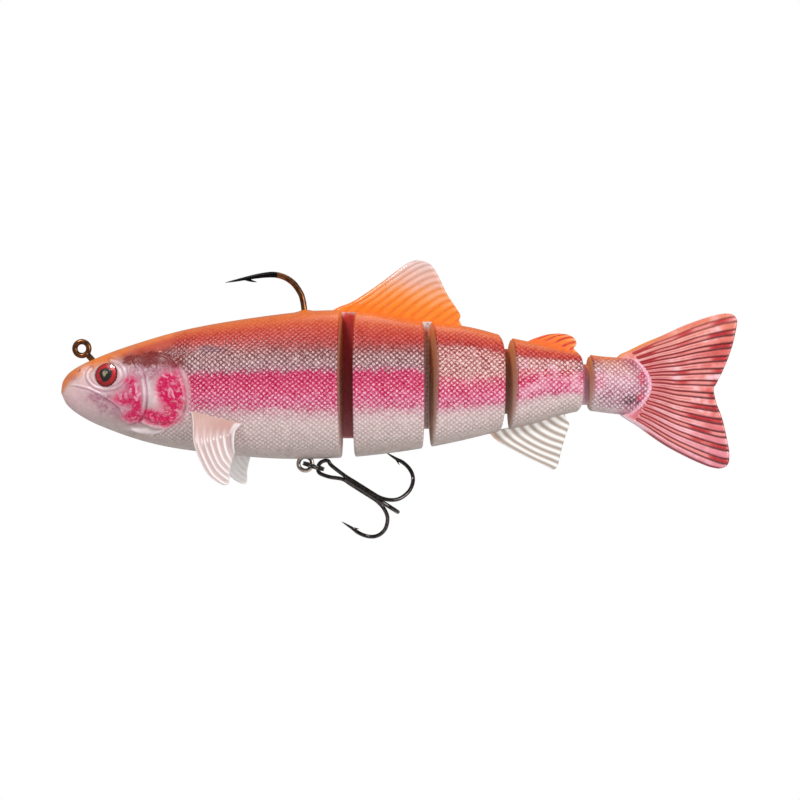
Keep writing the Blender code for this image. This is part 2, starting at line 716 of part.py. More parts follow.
def add_treble(surface):
    """A double hook bent from one wire, whose middle is the eye, and a third hook beside it."""
    angles = [TREBLE_FIRST_HOOK + 2 * pi * k / 3 for k in range(3)]
    side_a = treble_hook_points(angles[0], TREBLE_DOUBLE_FIRST)
    side_b = treble_hook_points(angles[1], TREBLE_DOUBLE_FIRST)
    eye = Vector((TREBLE_EYE_CENTRE[0], 0, TREBLE_EYE_CENTRE[1]))
    towards = (TREBLE_START - eye).normalized()
    cross = Vector((-towards.z, 0, towards.x))
    loop = []
    for k in range(TREBLE_EYE_STEPS):
        angle = TREBLE_EYE_OPENING + (2 * pi - 2 * TREBLE_EYE_OPENING) * k / (TREBLE_EYE_STEPS - 1)
        loop.append(eye + (towards * cos(angle) + cross * sin(angle)) * TREBLE_EYE_RADIUS)
    lead_in = smooth_path([side_a[0], loop[0]], 3)[1:-1]
    lead_out = smooth_path([loop[-1], side_b[0]], 3)[1:-1]
    points = side_a[::-1] + lead_in + loop + lead_out + side_b
    radius = point_radius(RIG_WIRE, len(points), TREBLE_POINT_STEPS, both_ends=True)
    double, rings = sweep_shape(points, radius, RIG_SIDES)
    barb = TREBLE_POINT_STEPS + 2
    rise = BARB_RISE * RIG_WIRE
    raise_barb(rings, barb, -1, -treble_outward(angles[0]), rise)
    raise_barb(rings, -1 - barb, 1, -treble_outward(angles[1]), rise)
    add_object("treble_double_hook", double, surface)

    points = treble_hook_points(angles[2], TREBLE_THIRD_FIRST)
    radius = point_radius(RIG_WIRE, len(points), TREBLE_POINT_STEPS)
    third, rings = sweep_shape(points, radius, RIG_SIDES)
    raise_barb(rings, -1 - barb, 1, -treble_outward(angles[2]), rise)
    add_object("treble_third_hook", third, surface)


def add_axis(name, place, parent=None):
    """An empty on a joint's axis."""
    empty = bpy.data.objects.new(name, None)
    empty.empty_display_size = AXIS_SIZE
    empty.location = Vector(place) * MM
    bpy.context.scene.collection.objects.link(empty)
    bpy.context.view_layer.update()
    if parent:
        attach(empty, parent)
    return empty


def attach(child, parent):
    child.parent = parent
    child.matrix_parent_inverse = parent.matrix_world.inverted()
    bpy.context.view_layer.update()


def build():
    for old in list(bpy.data.objects):
        bpy.data.objects.remove(old)

    skin = material("pearl_pink_skin", (0.75, 0.42, 0.42), 0.32)
    fin = material("soft_fin", (0.85, 0.62, 0.58), 0.35)
    orange = material("orange_fin", (0.95, 0.33, 0.08), 0.35)
    web = material("web", (0.24, 0.07, 0.07), 0.6)
    weave = material("woven_core", (0.75, 0.73, 0.7), 0.8)
    bronze = material("bronzed_steel", (0.2, 0.1, 0.05), 0.3, 1.0)
    nickel = material("black_nickel", (0.1, 0.1, 0.11), 0.25, 1.0)
    lead = material("lead", (0.25, 0.26, 0.28), 0.6, 0.8)
    eyes = {
        "iris": material("iris_red", (0.6, 0.02, 0.03), 0.25, 0.3),
        "pupil": material("pupil_black", (0.01, 0.01, 0.01), 0.3),
        "lens": material("clear_lens", (0.95, 0.95, 0.95), 0.05, 0.0, 0.2),
    }

    sections = [add_front_section(skin)]
    middle_sections = [
        ("section_2", SECTION_2_FACES, 0),
        ("section_3", SECTION_3_FACES, SECTION_3_LEAN),
        ("section_4", SECTION_4_FACES, SECTION_4_LEAN),
    ]
    for name, (first, last), lean in middle_sections:
        faces = leaning_face(first, lean, half_width(first)), leaning_face(last, 0, half_width(last))
        sections.append(add_section(name, *faces, MIDDLE_RINGS, skin))
    sections.append(add_tail_section(skin))
    front = sections[0]

    for number in range(len(WEB_SPANS)):
        add_web(number, web)
        cut_web_pocket(sections[number], number, True)
        cut_web_pocket(sections[number + 1], number, False)
    add_cores(sections, weave)

    wire, eye = top_hook_shapes(0)
    hook = add_object("top_hook", wire, bronze)
    combine(hook, add_object("line_eye_ring", eye), "UNION")
    wire, ring = belly_wire_shapes(0)
    belly_wire = add_object("belly_wire", wire, nickel)
    combine(belly_wire, add_object("belly_ring", ring), "UNION")

    ballast = add_object("ballast_weight", ballast_shape(0), lead)
    bore, _ = top_hook_shapes(GAP)
    combine(ballast, add_object("ballast_bore", bore), "DIFFERENCE")

    hook_space, _ = top_hook_shapes(GAP)
    spaces = [hook_space, *belly_wire_shapes(GAP), ballast_shape(GAP)]
    for number, shape in enumerate(spaces):
        combine(front, add_object(f"harness_space_{number}", shape), "DIFFERENCE")

    for side in (-1, 1):
        add_eye(side, front, eyes)

    add_back_fins(DORSAL_EDGE, DORSAL_PARTS, back, GAP, orange)
    add_back_fins(ADIPOSE_EDGE, ADIPOSE_PARTS, back, GAP, orange)
    add_back_fins(ANAL_EDGE, ANAL_PARTS, belly, -GAP, fin)
    add_tail_fin(fin)
    for side in (-1, 1):
        add_pectoral(side, fin)

    add_split_ring(nickel)
    add_treble(nickel)
    place_on_axes()


def place_on_axes():
    """Parents every moving piece to an empty on its joint's axis."""
    objects = bpy.data.objects
    axes = []
    for number, x in enumerate(HINGE_X):
        axes.append(add_axis(f"axis_hinge_{number + 1}", (x, 0, 0), axes[-1] if axes else None))
    riders = [
        ("section_2", "woven_core_2", "dorsal_fin_middle"),
        ("section_3", "woven_core_3", "dorsal_fin_rear", "anal_fin_front"),
        ("section_4", "woven_core_4", "adipose_fin", "anal_fin_rear"),
        ("tail_section", "woven_core_tail"),
    ]
    for axis, names in zip(axes, riders):
        for name in names:
            attach(objects[name], axis)
    tail_axis = add_axis("axis_tail_fin", (TAIL_FIN_HINGE, 0, TAIL_END_HEIGHT), axes[-1])
    attach(objects["tail_fin"], tail_axis)
    for side, word in ((-1, "left"), (1, "right")):
        x, z = PECTORAL_ROOT[1]
        fin_axis = add_axis(f"axis_pectoral_{word}", (x, side * PECTORAL_OUT, z))
        attach(objects[f"pectoral_fin_{word}"], fin_axis)
    ring_axis = add_axis("axis_split_ring", (BELLY_RING_CENTRE[0], 0, BELLY_RING_CENTRE[1]))
    attach(objects["split_ring"], ring_axis)
    treble_axis = add_axis("axis_treble", (TREBLE_EYE_CENTRE[0], 0, TREBLE_EYE_CENTRE[1]), ring_axis)
    for name in ("treble_double_hook", "treble_third_hook"):
        attach(objects[name], treble_axis)


build()
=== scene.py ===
"""Looks of the jointed soft swimbait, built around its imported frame.

Lengths are in millimetres and are turned into metres where meshes are made.
Frame: the origin is the centre of the line eye, +X runs towards the tail, +Z towards the back,
and -Y is the left flank, which faces the camera.
"""

from math import cos, pi, radians, sin

import bmesh
import bpy
import numpy as np
from mathutils import Matrix, Vector


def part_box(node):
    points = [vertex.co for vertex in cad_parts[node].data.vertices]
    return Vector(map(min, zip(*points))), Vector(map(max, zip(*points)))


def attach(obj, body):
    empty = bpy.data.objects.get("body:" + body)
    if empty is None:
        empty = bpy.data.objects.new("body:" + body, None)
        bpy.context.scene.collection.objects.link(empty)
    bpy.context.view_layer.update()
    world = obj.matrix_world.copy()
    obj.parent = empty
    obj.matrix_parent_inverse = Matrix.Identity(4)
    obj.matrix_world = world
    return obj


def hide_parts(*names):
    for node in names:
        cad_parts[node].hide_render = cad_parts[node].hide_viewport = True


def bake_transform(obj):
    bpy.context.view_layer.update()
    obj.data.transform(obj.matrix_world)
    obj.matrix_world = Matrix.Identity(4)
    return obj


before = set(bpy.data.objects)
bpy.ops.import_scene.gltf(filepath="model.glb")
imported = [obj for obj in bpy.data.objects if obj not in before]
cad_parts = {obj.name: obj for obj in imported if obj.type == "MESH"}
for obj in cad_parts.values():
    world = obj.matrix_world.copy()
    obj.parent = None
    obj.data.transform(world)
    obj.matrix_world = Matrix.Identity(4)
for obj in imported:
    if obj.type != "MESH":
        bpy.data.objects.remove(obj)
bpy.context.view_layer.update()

MM = 0.001

# Body outline, as the sections of the frame have it: X against Z of the back, Z of the belly and half width.
BACK_LINE = [
    (-5.5, -11.6), (-4.7, -8.4), (-2.1, -5.6), (4.3, -2.4), (13.9, 1.1), (26.7, 4.8),
    (41, 7.5), (58.7, 9.8), (69.5, 10.2), (80, 9.3), (91.2, 7.4), (103.5, 5.7),
    (114.7, 2.8), (124, 0.9), (133.6, -1.3), (139, -2.1), (146, -2.5), (153, -2.6),
]
BELLY_LINE = [
    (-5.5, -11.8), (-3.7, -15.2), (1.1, -18.7), (7.5, -21.6), (17, -24.8), (26.7, -26.8),
    (44.3, -28.8), (56, -29.4), (69, -29.1), (80, -28.1), (91.2, -26.5), (100.3, -24.7),
    (109.9, -22.4), (120, -20.2), (128, -17.7), (134, -16.6), (140, -17.2), (147, -17.9), (153, -18),
]
HALF_WIDTH = [
    (-5.5, 0.1), (-4.7, 2.6), (-2.1, 4.7), (4.3, 7.0), (13.9, 8.9), (26.7, 10.2), (41, 10.9),
    (55, 11.0), (69, 10.8), (80, 10.3), (91.2, 9.5), (103.5, 8.3), (114.7, 7.0), (124, 5.9),
    (133.6, 4.8), (139, 3.9), (146, 2.5), (152, 1.0), (153, 0.9),
]

# Height of the widest point as a share of the depth, and the powers that round the back and the belly.
WIDEST_AT = 0.56
BACK_POWER, BELLY_POWER = 2.2, 2.0

# End faces: X at the middle plane, and how far the rim leans away at the flank, the back and the belly.
FRONT_REAR = (69.7, -1.3, -0.5, -0.4)
SECTION_2_FRONT, SECTION_2_REAR = (72.5, 0, 0.4, 0.3), (91.2, 0, -0.5, -0.4)
SECTION_3_FRONT, SECTION_3_REAR = (92.4, 2.6, 0.6, 0.7), (112.5, 0, -1.1, -1.0)
SECTION_4_FRONT, SECTION_4_REAR = (113.3, 2.7, 1.5, 0.6), (133.3, 0, -0.9, -1.0)
TAIL_FRONT = (134.4, 2.1, 1.2, 0.8)
TAIL_END_MIDDLE, TAIL_END_HEIGHT, TAIL_END_BULGE = 151.9, -9.8, 0.088
EDGE_RADIUS = 0.55

# The eye turns forwards and up; the socket's floor is measured from the eye's own middle plane.
EYE_RADIUS, EYE_YAW, EYE_LIFT = 3.05, radians(14), radians(10)
SOCKET_FLOOR = -0.35

# Skin mesh: columns of one flank from the back to the belly, and the spacing of its rows.
FLANK_COLUMNS = 150
ROW_SPACING = 0.27
RING_SAMPLES, RING_SETTLING = 501, 4
EDGE_TURNS = [radians(a) for a in (0, 22, 45, 68)]
FACE_SHARES = (0.96, 0.88, 0.75, 0.6, 0.45, 0.3, 0.15, 0.0)

# Scale relief: spacing along and down the body, and height.
SCALE_PITCH, SCALE_DROP = 1.5, 1.32
SCALE_HEIGHT = 0.12

# The low mound of skin round the hook where it leaves the back.
MOUND_X, MOUND_REACH, MOUND_RISE = 59.4, 1.7, 0.55

# How far drawing marks show on the wires, and the thread spacing of the webs and of the core in metres.
WIRE_SCRATCH = 0.3
WEB_WEAVE = (0.42, 0.36)
CORE_WEAVE = 0.0006

# Strength of the surroundings as light; they look pure white behind the object.
AMBIENT = 0.3
FLOOR_LEVEL, FLOOR_RADIUS = -0.2, 0.3


# ---------------------------------------------------------------- numbers and curves


def profile(points):
    """A smooth function through (x, value) points, for arrays."""
    xs, ys = np.array(points, float).T
    last = len(xs) - 1
    before = np.maximum(np.arange(last + 1) - 1, 0)
    after = np.minimum(np.arange(last + 1) + 1, last)
    slopes = (ys[after] - ys[before]) / (xs[after] - xs[before])

    def value(x):
        x = np.clip(x, xs[0], xs[-1])
        i = np.clip(np.searchsorted(xs, x, side="right") - 1, 0, last - 1)
        span = xs[i + 1] - xs[i]
        t = (x - xs[i]) / span
        rise = t * t * (3 - 2 * t)
        bend = slopes[i] * t * (1 - t) ** 2 + slopes[i + 1] * t * t * (t - 1)
        return ys[i] * (1 - rise) + ys[i + 1] * rise + span * bend

    return value


back = profile(BACK_LINE)
belly = profile(BELLY_LINE)
half_width = profile(HALF_WIDTH)


def step(low, high, x):
    """0 below low, 1 above high, and smooth between; low may be the higher one."""
    t = np.clip((x - low) / (high - low), 0, 1)
    return t * t * (3 - 2 * t)


def noise(x, y, size, seed=0):
    """Smooth noise from 0 to 1, with blotches about size across."""
    turn = 0.6 + seed * 0.7
    u = (x * cos(turn) + y * sin(turn)) / size
    v = (y * cos(turn) - x * sin(turn)) / size
    i, j = np.floor(u), np.floor(v)
    f, g = u - i, v - j
    f, g = f * f * (3 - 2 * f), g * g * (3 - 2 * g)

    def corner(a, b):
        n = np.sin((i + a) * 12.9898 + (j + b) * 78.233 + seed * 37.719) * 43758.5453
        return n - np.floor(n)

    upper = corner(0, 0) * (1 - f) + corner(1, 0) * f
    lower = corner(0, 1) * (1 - f) + corner(1, 1) * f
    return upper * (1 - g) + lower * g


def sway(x, y, size, seed, span):
    """Noise about 0, span from its lowest to its highest."""
    return (noise(x, y, size, seed) - 0.5) * span


def smooth_path(points, steps):
    """Points on a smooth curve through the given points, as an array."""
    points = np.array(points, float)
    ends = np.concatenate([points[:1], points, points[-1:]])
    path = []
    for i in range(len(points) - 1):
        before, a, b, after = ends[i:i + 4]
        for k in range(steps):
            t = k / steps
            path.append(0.5 * (
                2 * a + (b - before) * t + (2 * before - 5 * a + 4 * b - after) * t ** 2
                + (3 * a - before - 3 * b + after) * t ** 3
            ))
    path.append(points[-1])
    return np.array(path)


def even_path(points, count):
    """Evenly spaced points on a smooth curve through the given points."""
    path = smooth_path(points, 12)
    lengths = np.concatenate([[0], np.cumsum(np.linalg.norm(np.diff(path, axis=0), axis=1))])
    wanted = np.linspace(0, lengths[-1], count)
    return np.stack([np.interp(wanted, lengths, path[:, k]) for k in range(path.shape[1])], axis=1)


def path_distance(path, x, z):
    """Distance from points to a smooth path in the XZ plane; negative on its right-hand side."""
    path = smooth_path(path, 6)
    best = np.full(np.shape(x), 1e9)
    signed = np.zeros(np.shape(x))
    for a, b in zip(path, path[1:]):
        d = b - a
        along = np.clip(((x - a[0]) * d[0] + (z - a[1]) * d[1]) / (d @ d), 0, 1)
        px = x - a[0] - along * d[0]
        pz = z - a[1] - along * d[1]
        distance = np.hypot(px, pz)
        side = np.where(d[0] * (z - a[1]) - d[1] * (x - a[0]) >= 0, 1, -1)
        nearer = distance < best
        best = np.where(nearer, distance, best)
        signed = np.where(nearer, side * distance, signed)
    return signed


def linear(colour):
    """A screen colour, 0 to 255, as linear light."""
    c = np.array(colour, float) / 255
    return np.where(c <= 0.04045, c / 12.92, ((c + 0.055) / 1.055) ** 2.4)


def ramp(stops, value):
    """Linear colours for an array of values, from (value, screen colour) stops in rising order."""
    places = [s[0] for s in stops]
    colours = np.array([linear(s[1]) for s in stops])
    return np.stack([np.interp(value, places, colours[:, k]) for k in range(3)], axis=-1)


def mix(a, b, share):
    """Goes from a to b by a share for each point."""
    return a + (b - a) * np.asarray(share)[..., None]


def tint(paint, colour, share):
    """Paint mixed with a screen colour."""
    return mix(paint, linear(colour), share)


# ---------------------------------------------------------------- meshes


def add_object(name, data):
    """A new object, linked to the scene."""
    made = bpy.data.objects.new(name, data)
    bpy.context.scene.collection.objects.link(made)
    return made


def mesh_piece(name, points, faces, surface, fields=None):
    """An object from points in millimetres, faces, and values for each point."""
    mesh = bpy.data.meshes.new(name)
    mesh.from_pydata((np.asarray(points) * MM).tolist(), [], faces)
    fields = dict(fields or {})
    fields.setdefault("place", points)
    for key, values in fields.items():
        values = np.asarray(values, np.float32)
        if values.ndim == 1:
            mesh.attributes.new(key, "FLOAT", "POINT").data.foreach_set("value", values)
        else:
            layer = mesh.attributes.new(key, "FLOAT_VECTOR", "POINT")
            layer.data.foreach_set("vector", values.ravel())
    shape = bmesh.new()
    shape.from_mesh(mesh)
    bmesh.ops.remove_doubles(shape, verts=shape.verts, dist=1e-6)
    bmesh.ops.recalc_face_normals(shape, faces=shape.faces)
    shape.to_mesh(mesh)
    shape.free()
    mesh.materials.append(surface)
    mesh.shade_smooth()
    return add_object(name, mesh)


def settle(piece, body, node, slot):
    """Puts a piece on one body, in the place of one of the frame's nodes."""
    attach(piece, body)
    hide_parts(node)


def grid_faces(rows, columns, wrap, start=0):
    """Quads of a grid of points, row after row; wrap joins the last column to the first."""
    i, j = np.meshgrid(np.arange(rows - 1), np.arange(columns if wrap else columns - 1), indexing="ij")
    a = start + i * columns + j
    b = start + i * columns + (j + 1) % columns
    return np.stack([a, b, b + columns, a + columns], axis=-1).reshape(-1, 4).tolist()


def sheet_piece(name, middle, half_thick, surface, fields):
    """A closed thin piece: a grid of middle points, given half its thickness to each side along Y."""
    rows, columns = half_thick.shape
    offset = half_thick[..., None] * np.array((0, 1, 0))
    points = np.concatenate([(middle - offset).reshape(-1, 3), (middle + offset).reshape(-1, 3)])
    count = rows * columns
    faces = grid_faces(rows, columns, False) + grid_faces(rows, columns, False, count)
    order = np.arange(count).reshape(rows, columns)
    rim = np.concatenate([order[0], order[1:, -1], order[-1, -2::-1], order[-2:0:-1, 0]])
    for a, b in zip(rim, np.roll(rim, -1)):
        faces.append([int(a), int(b), int(b) + count, int(a) + count])
    doubled = {}
    for key, values in fields.items():
        values = values.reshape(count, -1) if values.ndim == 3 else values.reshape(count)
        doubled[key] = np.concatenate([values, values])
    return mesh_piece(name, points, faces, surface, doubled)


def wire_mesh(path, radius, sides, closed=False):
    """Points, faces and distances along of a round wire; radius is a number or one for each point."""
    path = np.asarray(path, float)
    count = len(path)
    radius = np.broadcast_to(np.asarray(radius, float), count)
    side = None
    points = []
    for i, point in enumerate(path):
        after = path[(i + 1) % count] if closed else path[min(i + 1, count - 1)]
        before = path[i - 1] if closed or i else path[0]
        ahead = (after - before) / np.linalg.norm(after - before)
        if side is None:
            side = np.cross((0, 1, 0), ahead)
        side = side - ahead * (side @ ahead)
        side = side / np.linalg.norm(side)
        up = np.cross(ahead, side)
        for k in range(sides):
            t = 2 * pi * k / sides
            points.append(point + (side * cos(t) + up * sin(t)) * radius[i])
    faces = grid_faces(count, sides, True)
    if closed:
        last = (count - 1) * sides
        faces += [[last + k, last + (k + 1) % sides, (k + 1) % sides, k] for k in range(sides)]
    else:
        faces.append(list(range(sides)))
        faces.append(list(range((count - 1) * sides, count * sides)))
    return np.array(points), faces


def join_meshes(parts):
    """One list of points and faces from several."""
    points, faces = [], []
    start = 0
    for some_points, some_faces in parts:
        points.append(some_points)
        faces += [[start + k for k in face] for face in some_faces]
        start += len(some_points)
    return np.concatenate(points), faces


# ---------------------------------------------------------------- materials


def put(tree, kind, inputs=None, **settings):
    """A shader node with its settings, and its inputs as numbers or other nodes' sockets."""
    node = tree.nodes.new("ShaderNode" + kind)
    for key, value in settings.items():
        setattr(node, key, value)
    for key, value in (inputs or {}).items():
        if isinstance(value, bpy.types.NodeSocket):
            tree.links.new(value, node.inputs[key])
        else:
            node.inputs[key].default_value = value
    return node


def calc(tree, operation, a, b=0.0, c=0.0):
    """A maths node's result."""
    return put(tree, "Math", {0: a, 1: b, 2: c}, operation=operation).outputs[0]


def times(tree, a, b):
    """The product of two values."""
    return calc(tree, "MULTIPLY", a, b)


def swayed(tree, value, middle, strength, base):
    """Base plus strength times how far a value is from its middle."""
    return calc(tree, "MULTIPLY_ADD", calc(tree, "SUBTRACT", value, middle), strength, base)


def blend_colour(tree, share, a, b, kind="MIX"):
    """Two colours mixed by a share."""
    node = put(tree, "Mix", {"Factor": share, 6: a, 7: b}, data_type="RGBA", blend_type=kind)
    return node.outputs[2]


def shade(tree, colour, tone):
    """A colour made darker or lighter by a number about 1."""
    grey = put(tree, "CombineColor", {0: tone, 1: tone, 2: tone}).outputs[0]
    return blend_colour(tree, 1.0, colour, grey, "MULTIPLY")


def solid(colour):
    """A screen colour as a shader socket takes it."""
    return (*linear(colour), 1)


def fit(tree, value, low, high, to_low=0.0, to_high=1.0):
    """A value moved from one range to another, and kept inside it."""
    node = put(tree, "MapRange", {0: value, 1: low, 2: high, 3: to_low, 4: to_high})
    return node.outputs[0]


def attribute(tree, name, output="Vector"):
    """A field stored on the mesh."""
    return put(tree, "Attribute", attribute_name=name).outputs[output]


def place_noise(tree, scale, detail, roughness=0.5, distortion=0.0):
    """Noise fixed to the piece's rest shape; scale is in blotches to the millimetre."""
    return put(tree, "TexNoise", {
        "Vector": attribute(tree, "place"), "Scale": scale, "Detail": detail,
        "Roughness": roughness, "Distortion": distortion,
    }).outputs[0]


def new_material(name, **values):
    """A material with a Principled shader whose uniform values are set on its own sockets."""
    made = bpy.data.materials.new(name)
    made.use_nodes = True
    shader = made.node_tree.nodes["Principled BSDF"]
    for key, value in values.items():
        shader.inputs[key.replace("_", " ")].default_value = value
    return made, made.node_tree, shader


def wire_up(tree, shader, colour, roughness, height, distance):
    """Joins up a shader; distance is the bump's height in metres."""
    bump = put(tree, "Bump", {"Height": height, "Distance": distance, "Strength": 1.0})
    for socket, name in ((colour, "Base Color"), (roughness, "Roughness"), (bump.outputs[0], "Normal")):
        tree.links.new(socket, shader.inputs[name])


def head_marks(tree, colour, fine):
    """Lays the head's veined patches and pale streaks over a colour."""
    marks = put(tree, "SeparateXYZ", {0: attribute(tree, "marks")})
    veins = fit(tree, place_noise(tree, 0.55, 3.0, 0.55, 1.6), 0.3, 0.7)
    gaps = calc(tree, "SUBTRACT", 1.0, veins)
    wisps = fit(tree, calc(tree, "MULTIPLY_ADD", fine, 0.8, veins), 0.3, 1.2)
    layers = (
        (1, gaps, MAUVE, 0.0, 1.7, 0.8), (2, gaps, MAROON, 0.0, 0.8, 0.94),
        (0, veins, ROSE, 0.05, 0.6, 0.6), (0, wisps, MAGENTA, 0.4, 1.4, 0.97),
    )
    for channel, pattern, paint, low, high, most in layers:
        amount = times(tree, marks.outputs[channel], calc(tree, "MULTIPLY_ADD", pattern, 1.3, 0.3))
        colour = blend_colour(tree, fit(tree, amount, low, high, 0.0, most), colour, solid(paint))
    streaks = fit(tree, place_noise(tree, 0.4, 3.0, 0.5, 1.5), 0.54, 0.68, 0.0, 0.7)
    streaks = times(tree, streaks, fit(tree, marks.outputs[0], 0.1, 0.6))
    return blend_colour(tree, streaks, colour, solid((246, 190, 214)))


def skin_material():
    """Painted soft plastic: pearly scales whose valleys hold the darker paint, with painted highlights on
    their crests and a painted pearly sheen.
    """
    made, tree, shader = new_material(
        "painted_skin", Coat_Weight=0.16, Coat_Roughness=0.2, Specular_IOR_Level=0.25,
    )
    lay = put(tree, "SeparateXYZ", {0: attribute(tree, "lay")})
    fine = place_noise(tree, 2.2, 3.0)
    grit = place_noise(tree, 4.5, 1.0)
    column = swayed(tree, fine, 0.5, 0.55, lay.outputs[0])
    row = swayed(tree, grit, 0.5, 0.4, lay.outputs[1])
    across = calc(tree, "ABSOLUTE", calc(tree, "COSINE", times(tree, column, pi)))
    down = calc(tree, "ABSOLUTE", calc(tree, "COSINE", times(tree, row, pi)))
    scaly = lay.outputs[2]
    crest = calc(tree, "POWER", times(tree, across, down), 0.8)
    broad = place_noise(tree, 0.45, 2.0)
    ragged = swayed(tree, fine, 0.5, 1.5, times(tree, crest, 0.8))
    ragged = swayed(tree, grit, 0.46, 1.4, ragged)
    ragged = swayed(tree, broad, 0.5, 0.5, ragged)
    plain = fit(tree, fine, 0.3, 0.7, 0.25, 0.85)
    share = put(tree, "Mix", {"Factor": scaly, 2: plain, 3: ragged}, data_type="FLOAT").outputs[0]
    share = fit(tree, share, 0.12, 0.85)
    crest_paint = attribute(tree, "crest", "Color")
    colour = blend_colour(tree, share, attribute(tree, "valley", "Color"), crest_paint)
    blue = put(tree, "SeparateColor", {0: crest_paint}).outputs[2]
    brighter, paler = fit(tree, blue, 0.1, 0.3, 0.1, 0.75), fit(tree, blue, 0.4, 0.58, 0.0, 0.42)
    glint_strength = calc(tree, "SUBTRACT", brighter, paler)
    # Painted highlight: near-white glints on the scale crests, faint on the orange back and on the palest
    # paint.
    glint = swayed(tree, grit, 0.5, 1.8, crest)
    glint = fit(tree, swayed(tree, fine, 0.5, 1.2, glint), 0.75, 1.35)
    glint = times(tree, times(tree, glint, glint_strength), scaly)
    colour = blend_colour(tree, glint, colour, (1.0, 0.9, 0.9, 1))
    colour = head_marks(tree, colour, fine)
    # Painted sheen: small near-white pearly flecks scattered over the skin.
    fleck = put(tree, "TexVoronoi", {"Vector": attribute(tree, "place"), "Scale": 3.4})
    pearl_and_highlight = fit(tree, fleck.outputs["Distance"], 0.05, 0.22, 0.35, 0.0)
    colour = blend_colour(tree, pearl_and_highlight, colour, (1.0, 0.93, 0.93, 1))
    rough = fit(tree, broad, 0.3, 0.7, 0.24, 0.36)
    height = calc(tree, "MULTIPLY_ADD", times(tree, crest, scaly), 0.8, times(tree, fine, 0.25))
    wire_up(tree, shader, colour, rough, height, 7e-5)
    return made


def fin_material(name, coat, rough_low, rough_high, grain):
    """Soft fin plastic, painted point by point, with fine streaks along its rays."""
    made, tree, shader = new_material(name, Coat_Weight=coat, Coat_Roughness=0.14)
    ray = put(tree, "SeparateXYZ", {0: attribute(tree, "ray")})
    across, along = times(tree, ray.outputs[0], 5.0), times(tree, ray.outputs[1], 3.0)
    stretched = put(tree, "CombineXYZ", {0: across, 1: along, 2: 0.0})
    streak = put(tree, "TexNoise", {"Vector": stretched.outputs[0], "Scale": 1.0, "Detail": 3.0}).outputs[0]
    fine = place_noise(tree, 1.7, 3.0)
    tone = swayed(tree, streak, 0.5, grain, 1.0)
    tone = swayed(tree, fine, 0.5, 0.3 * grain, tone)
    colour = shade(tree, attribute(tree, "paint", "Color"), tone)
    rough = fit(tree, fine, 0.3, 0.7, rough_low, rough_high)
    wire_up(tree, shader, colour, rough, calc(tree, "ADD", streak, fine), 0.00006)
    return made


def web_material():
    """Matte, closely woven web under a thin film of the body plastic."""
    made, tree, shader = new_material("web_weave", Coat_Weight=0.05)
    place = put(tree, "SeparateXYZ", {0: attribute(tree, "place")})
    warp = calc(tree, "SINE", times(tree, place.outputs[0], 2 * pi / WEB_WEAVE[0]))
    weft = calc(tree, "SINE", times(tree, place.outputs[2], 2 * pi / WEB_WEAVE[1]))
    weave = times(tree, warp, weft)
    fine = place_noise(tree, 3.0, 3.0)
    tone = calc(tree, "MULTIPLY_ADD", weave, 0.12, calc(tree, "ADD", fine, 0.5))
    colour = shade(tree, attribute(tree, "paint", "Color"), tone)
    rough = fit(tree, fine, 0.3, 0.7, 0.5, 0.75)
    wire_up(tree, shader, colour, rough, calc(tree, "MULTIPLY_ADD", weave, 0.5, fine), 0.00012)
    return made


def fabric_material():
    """Pale woven reinforcement."""
    made, tree, shader = new_material("core_weave", Sheen_Weight=0.2)
    place = put(tree, "SeparateXYZ", {0: put(tree, "TexCoord").outputs["Object"]})
    warp = calc(tree, "SINE", times(tree, place.outputs[0], 2 * pi / CORE_WEAVE))
    weft = calc(tree, "SINE", times(tree, place.outputs[2], 2 * pi / CORE_WEAVE))
    weave = times(tree, warp, weft)
    share = fit(tree, weave, -1.0, 1.0)
    colour = blend_colour(tree, share, solid((168, 160, 150)), solid((228, 222, 212)))
    wire_up(tree, shader, colour, fit(tree, weave, -1.0, 1.0, 0.9, 0.7), weave, 0.0001)
    return made


def metal_material(name, dark, bright, rough_low, rough_high):
    """Plated wire, darker in its thin spots, with fine drawing marks."""
    made, tree, shader = new_material(name, Metallic=1.0)
    cloud = place_noise(tree, 1.1, 3.0)
    fine = place_noise(tree, 9.0, 2.0)
    share = fit(tree, calc(tree, "MULTIPLY_ADD", fine, WIRE_SCRATCH, cloud), 0.4, 0.8)
    colour = blend_colour(tree, share, solid(dark), solid(bright))
    wire_up(tree, shader, colour, fit(tree, fine, 0.3, 0.7, rough_low, rough_high), fine, 0.000003)
    return made


def top_hook_material():
    """Black nickel at the point, and a brown bronze finish on the bend, the shank and the line eye."""
    made, tree, shader = new_material("hook_bronze", Metallic=1.0)
    cloud = place_noise(tree, 0.9, 3.0)
    fine = place_noise(tree, 9.0, 2.0)
    share = fit(tree, calc(tree, "MULTIPLY_ADD", fine, WIRE_SCRATCH, cloud), 0.45, 0.75)
    bronze = blend_colour(tree, share, solid((74, 46, 36)), solid((142, 92, 56)))
    black = fit(tree, attribute(tree, "black", "Fac"), 0.45, 0.55)
    colour = blend_colour(tree, black, bronze, solid((26, 25, 27)))
    wire_up(tree, shader, colour, fit(tree, fine, 0.3, 0.7, 0.26, 0.34), fine, 0.000002)
    return made


def lead_material():
    """Dull cast lead."""
    made, tree, shader = new_material("cast_lead", Metallic=0.85)
    place = put(tree, "TexCoord").outputs["Object"]
    cloud = put(tree, "TexNoise", {"Vector": place, "Scale": 400.0, "Detail": 4.0}).outputs[0]
    colour = blend_colour(tree, fit(tree, cloud, 0.35, 0.65), solid((88, 90, 94)), solid((132, 134, 138)))
    wire_up(tree, shader, colour, fit(tree, cloud, 0.3, 0.7, 0.45, 0.7), cloud, 0.0002)
    return made


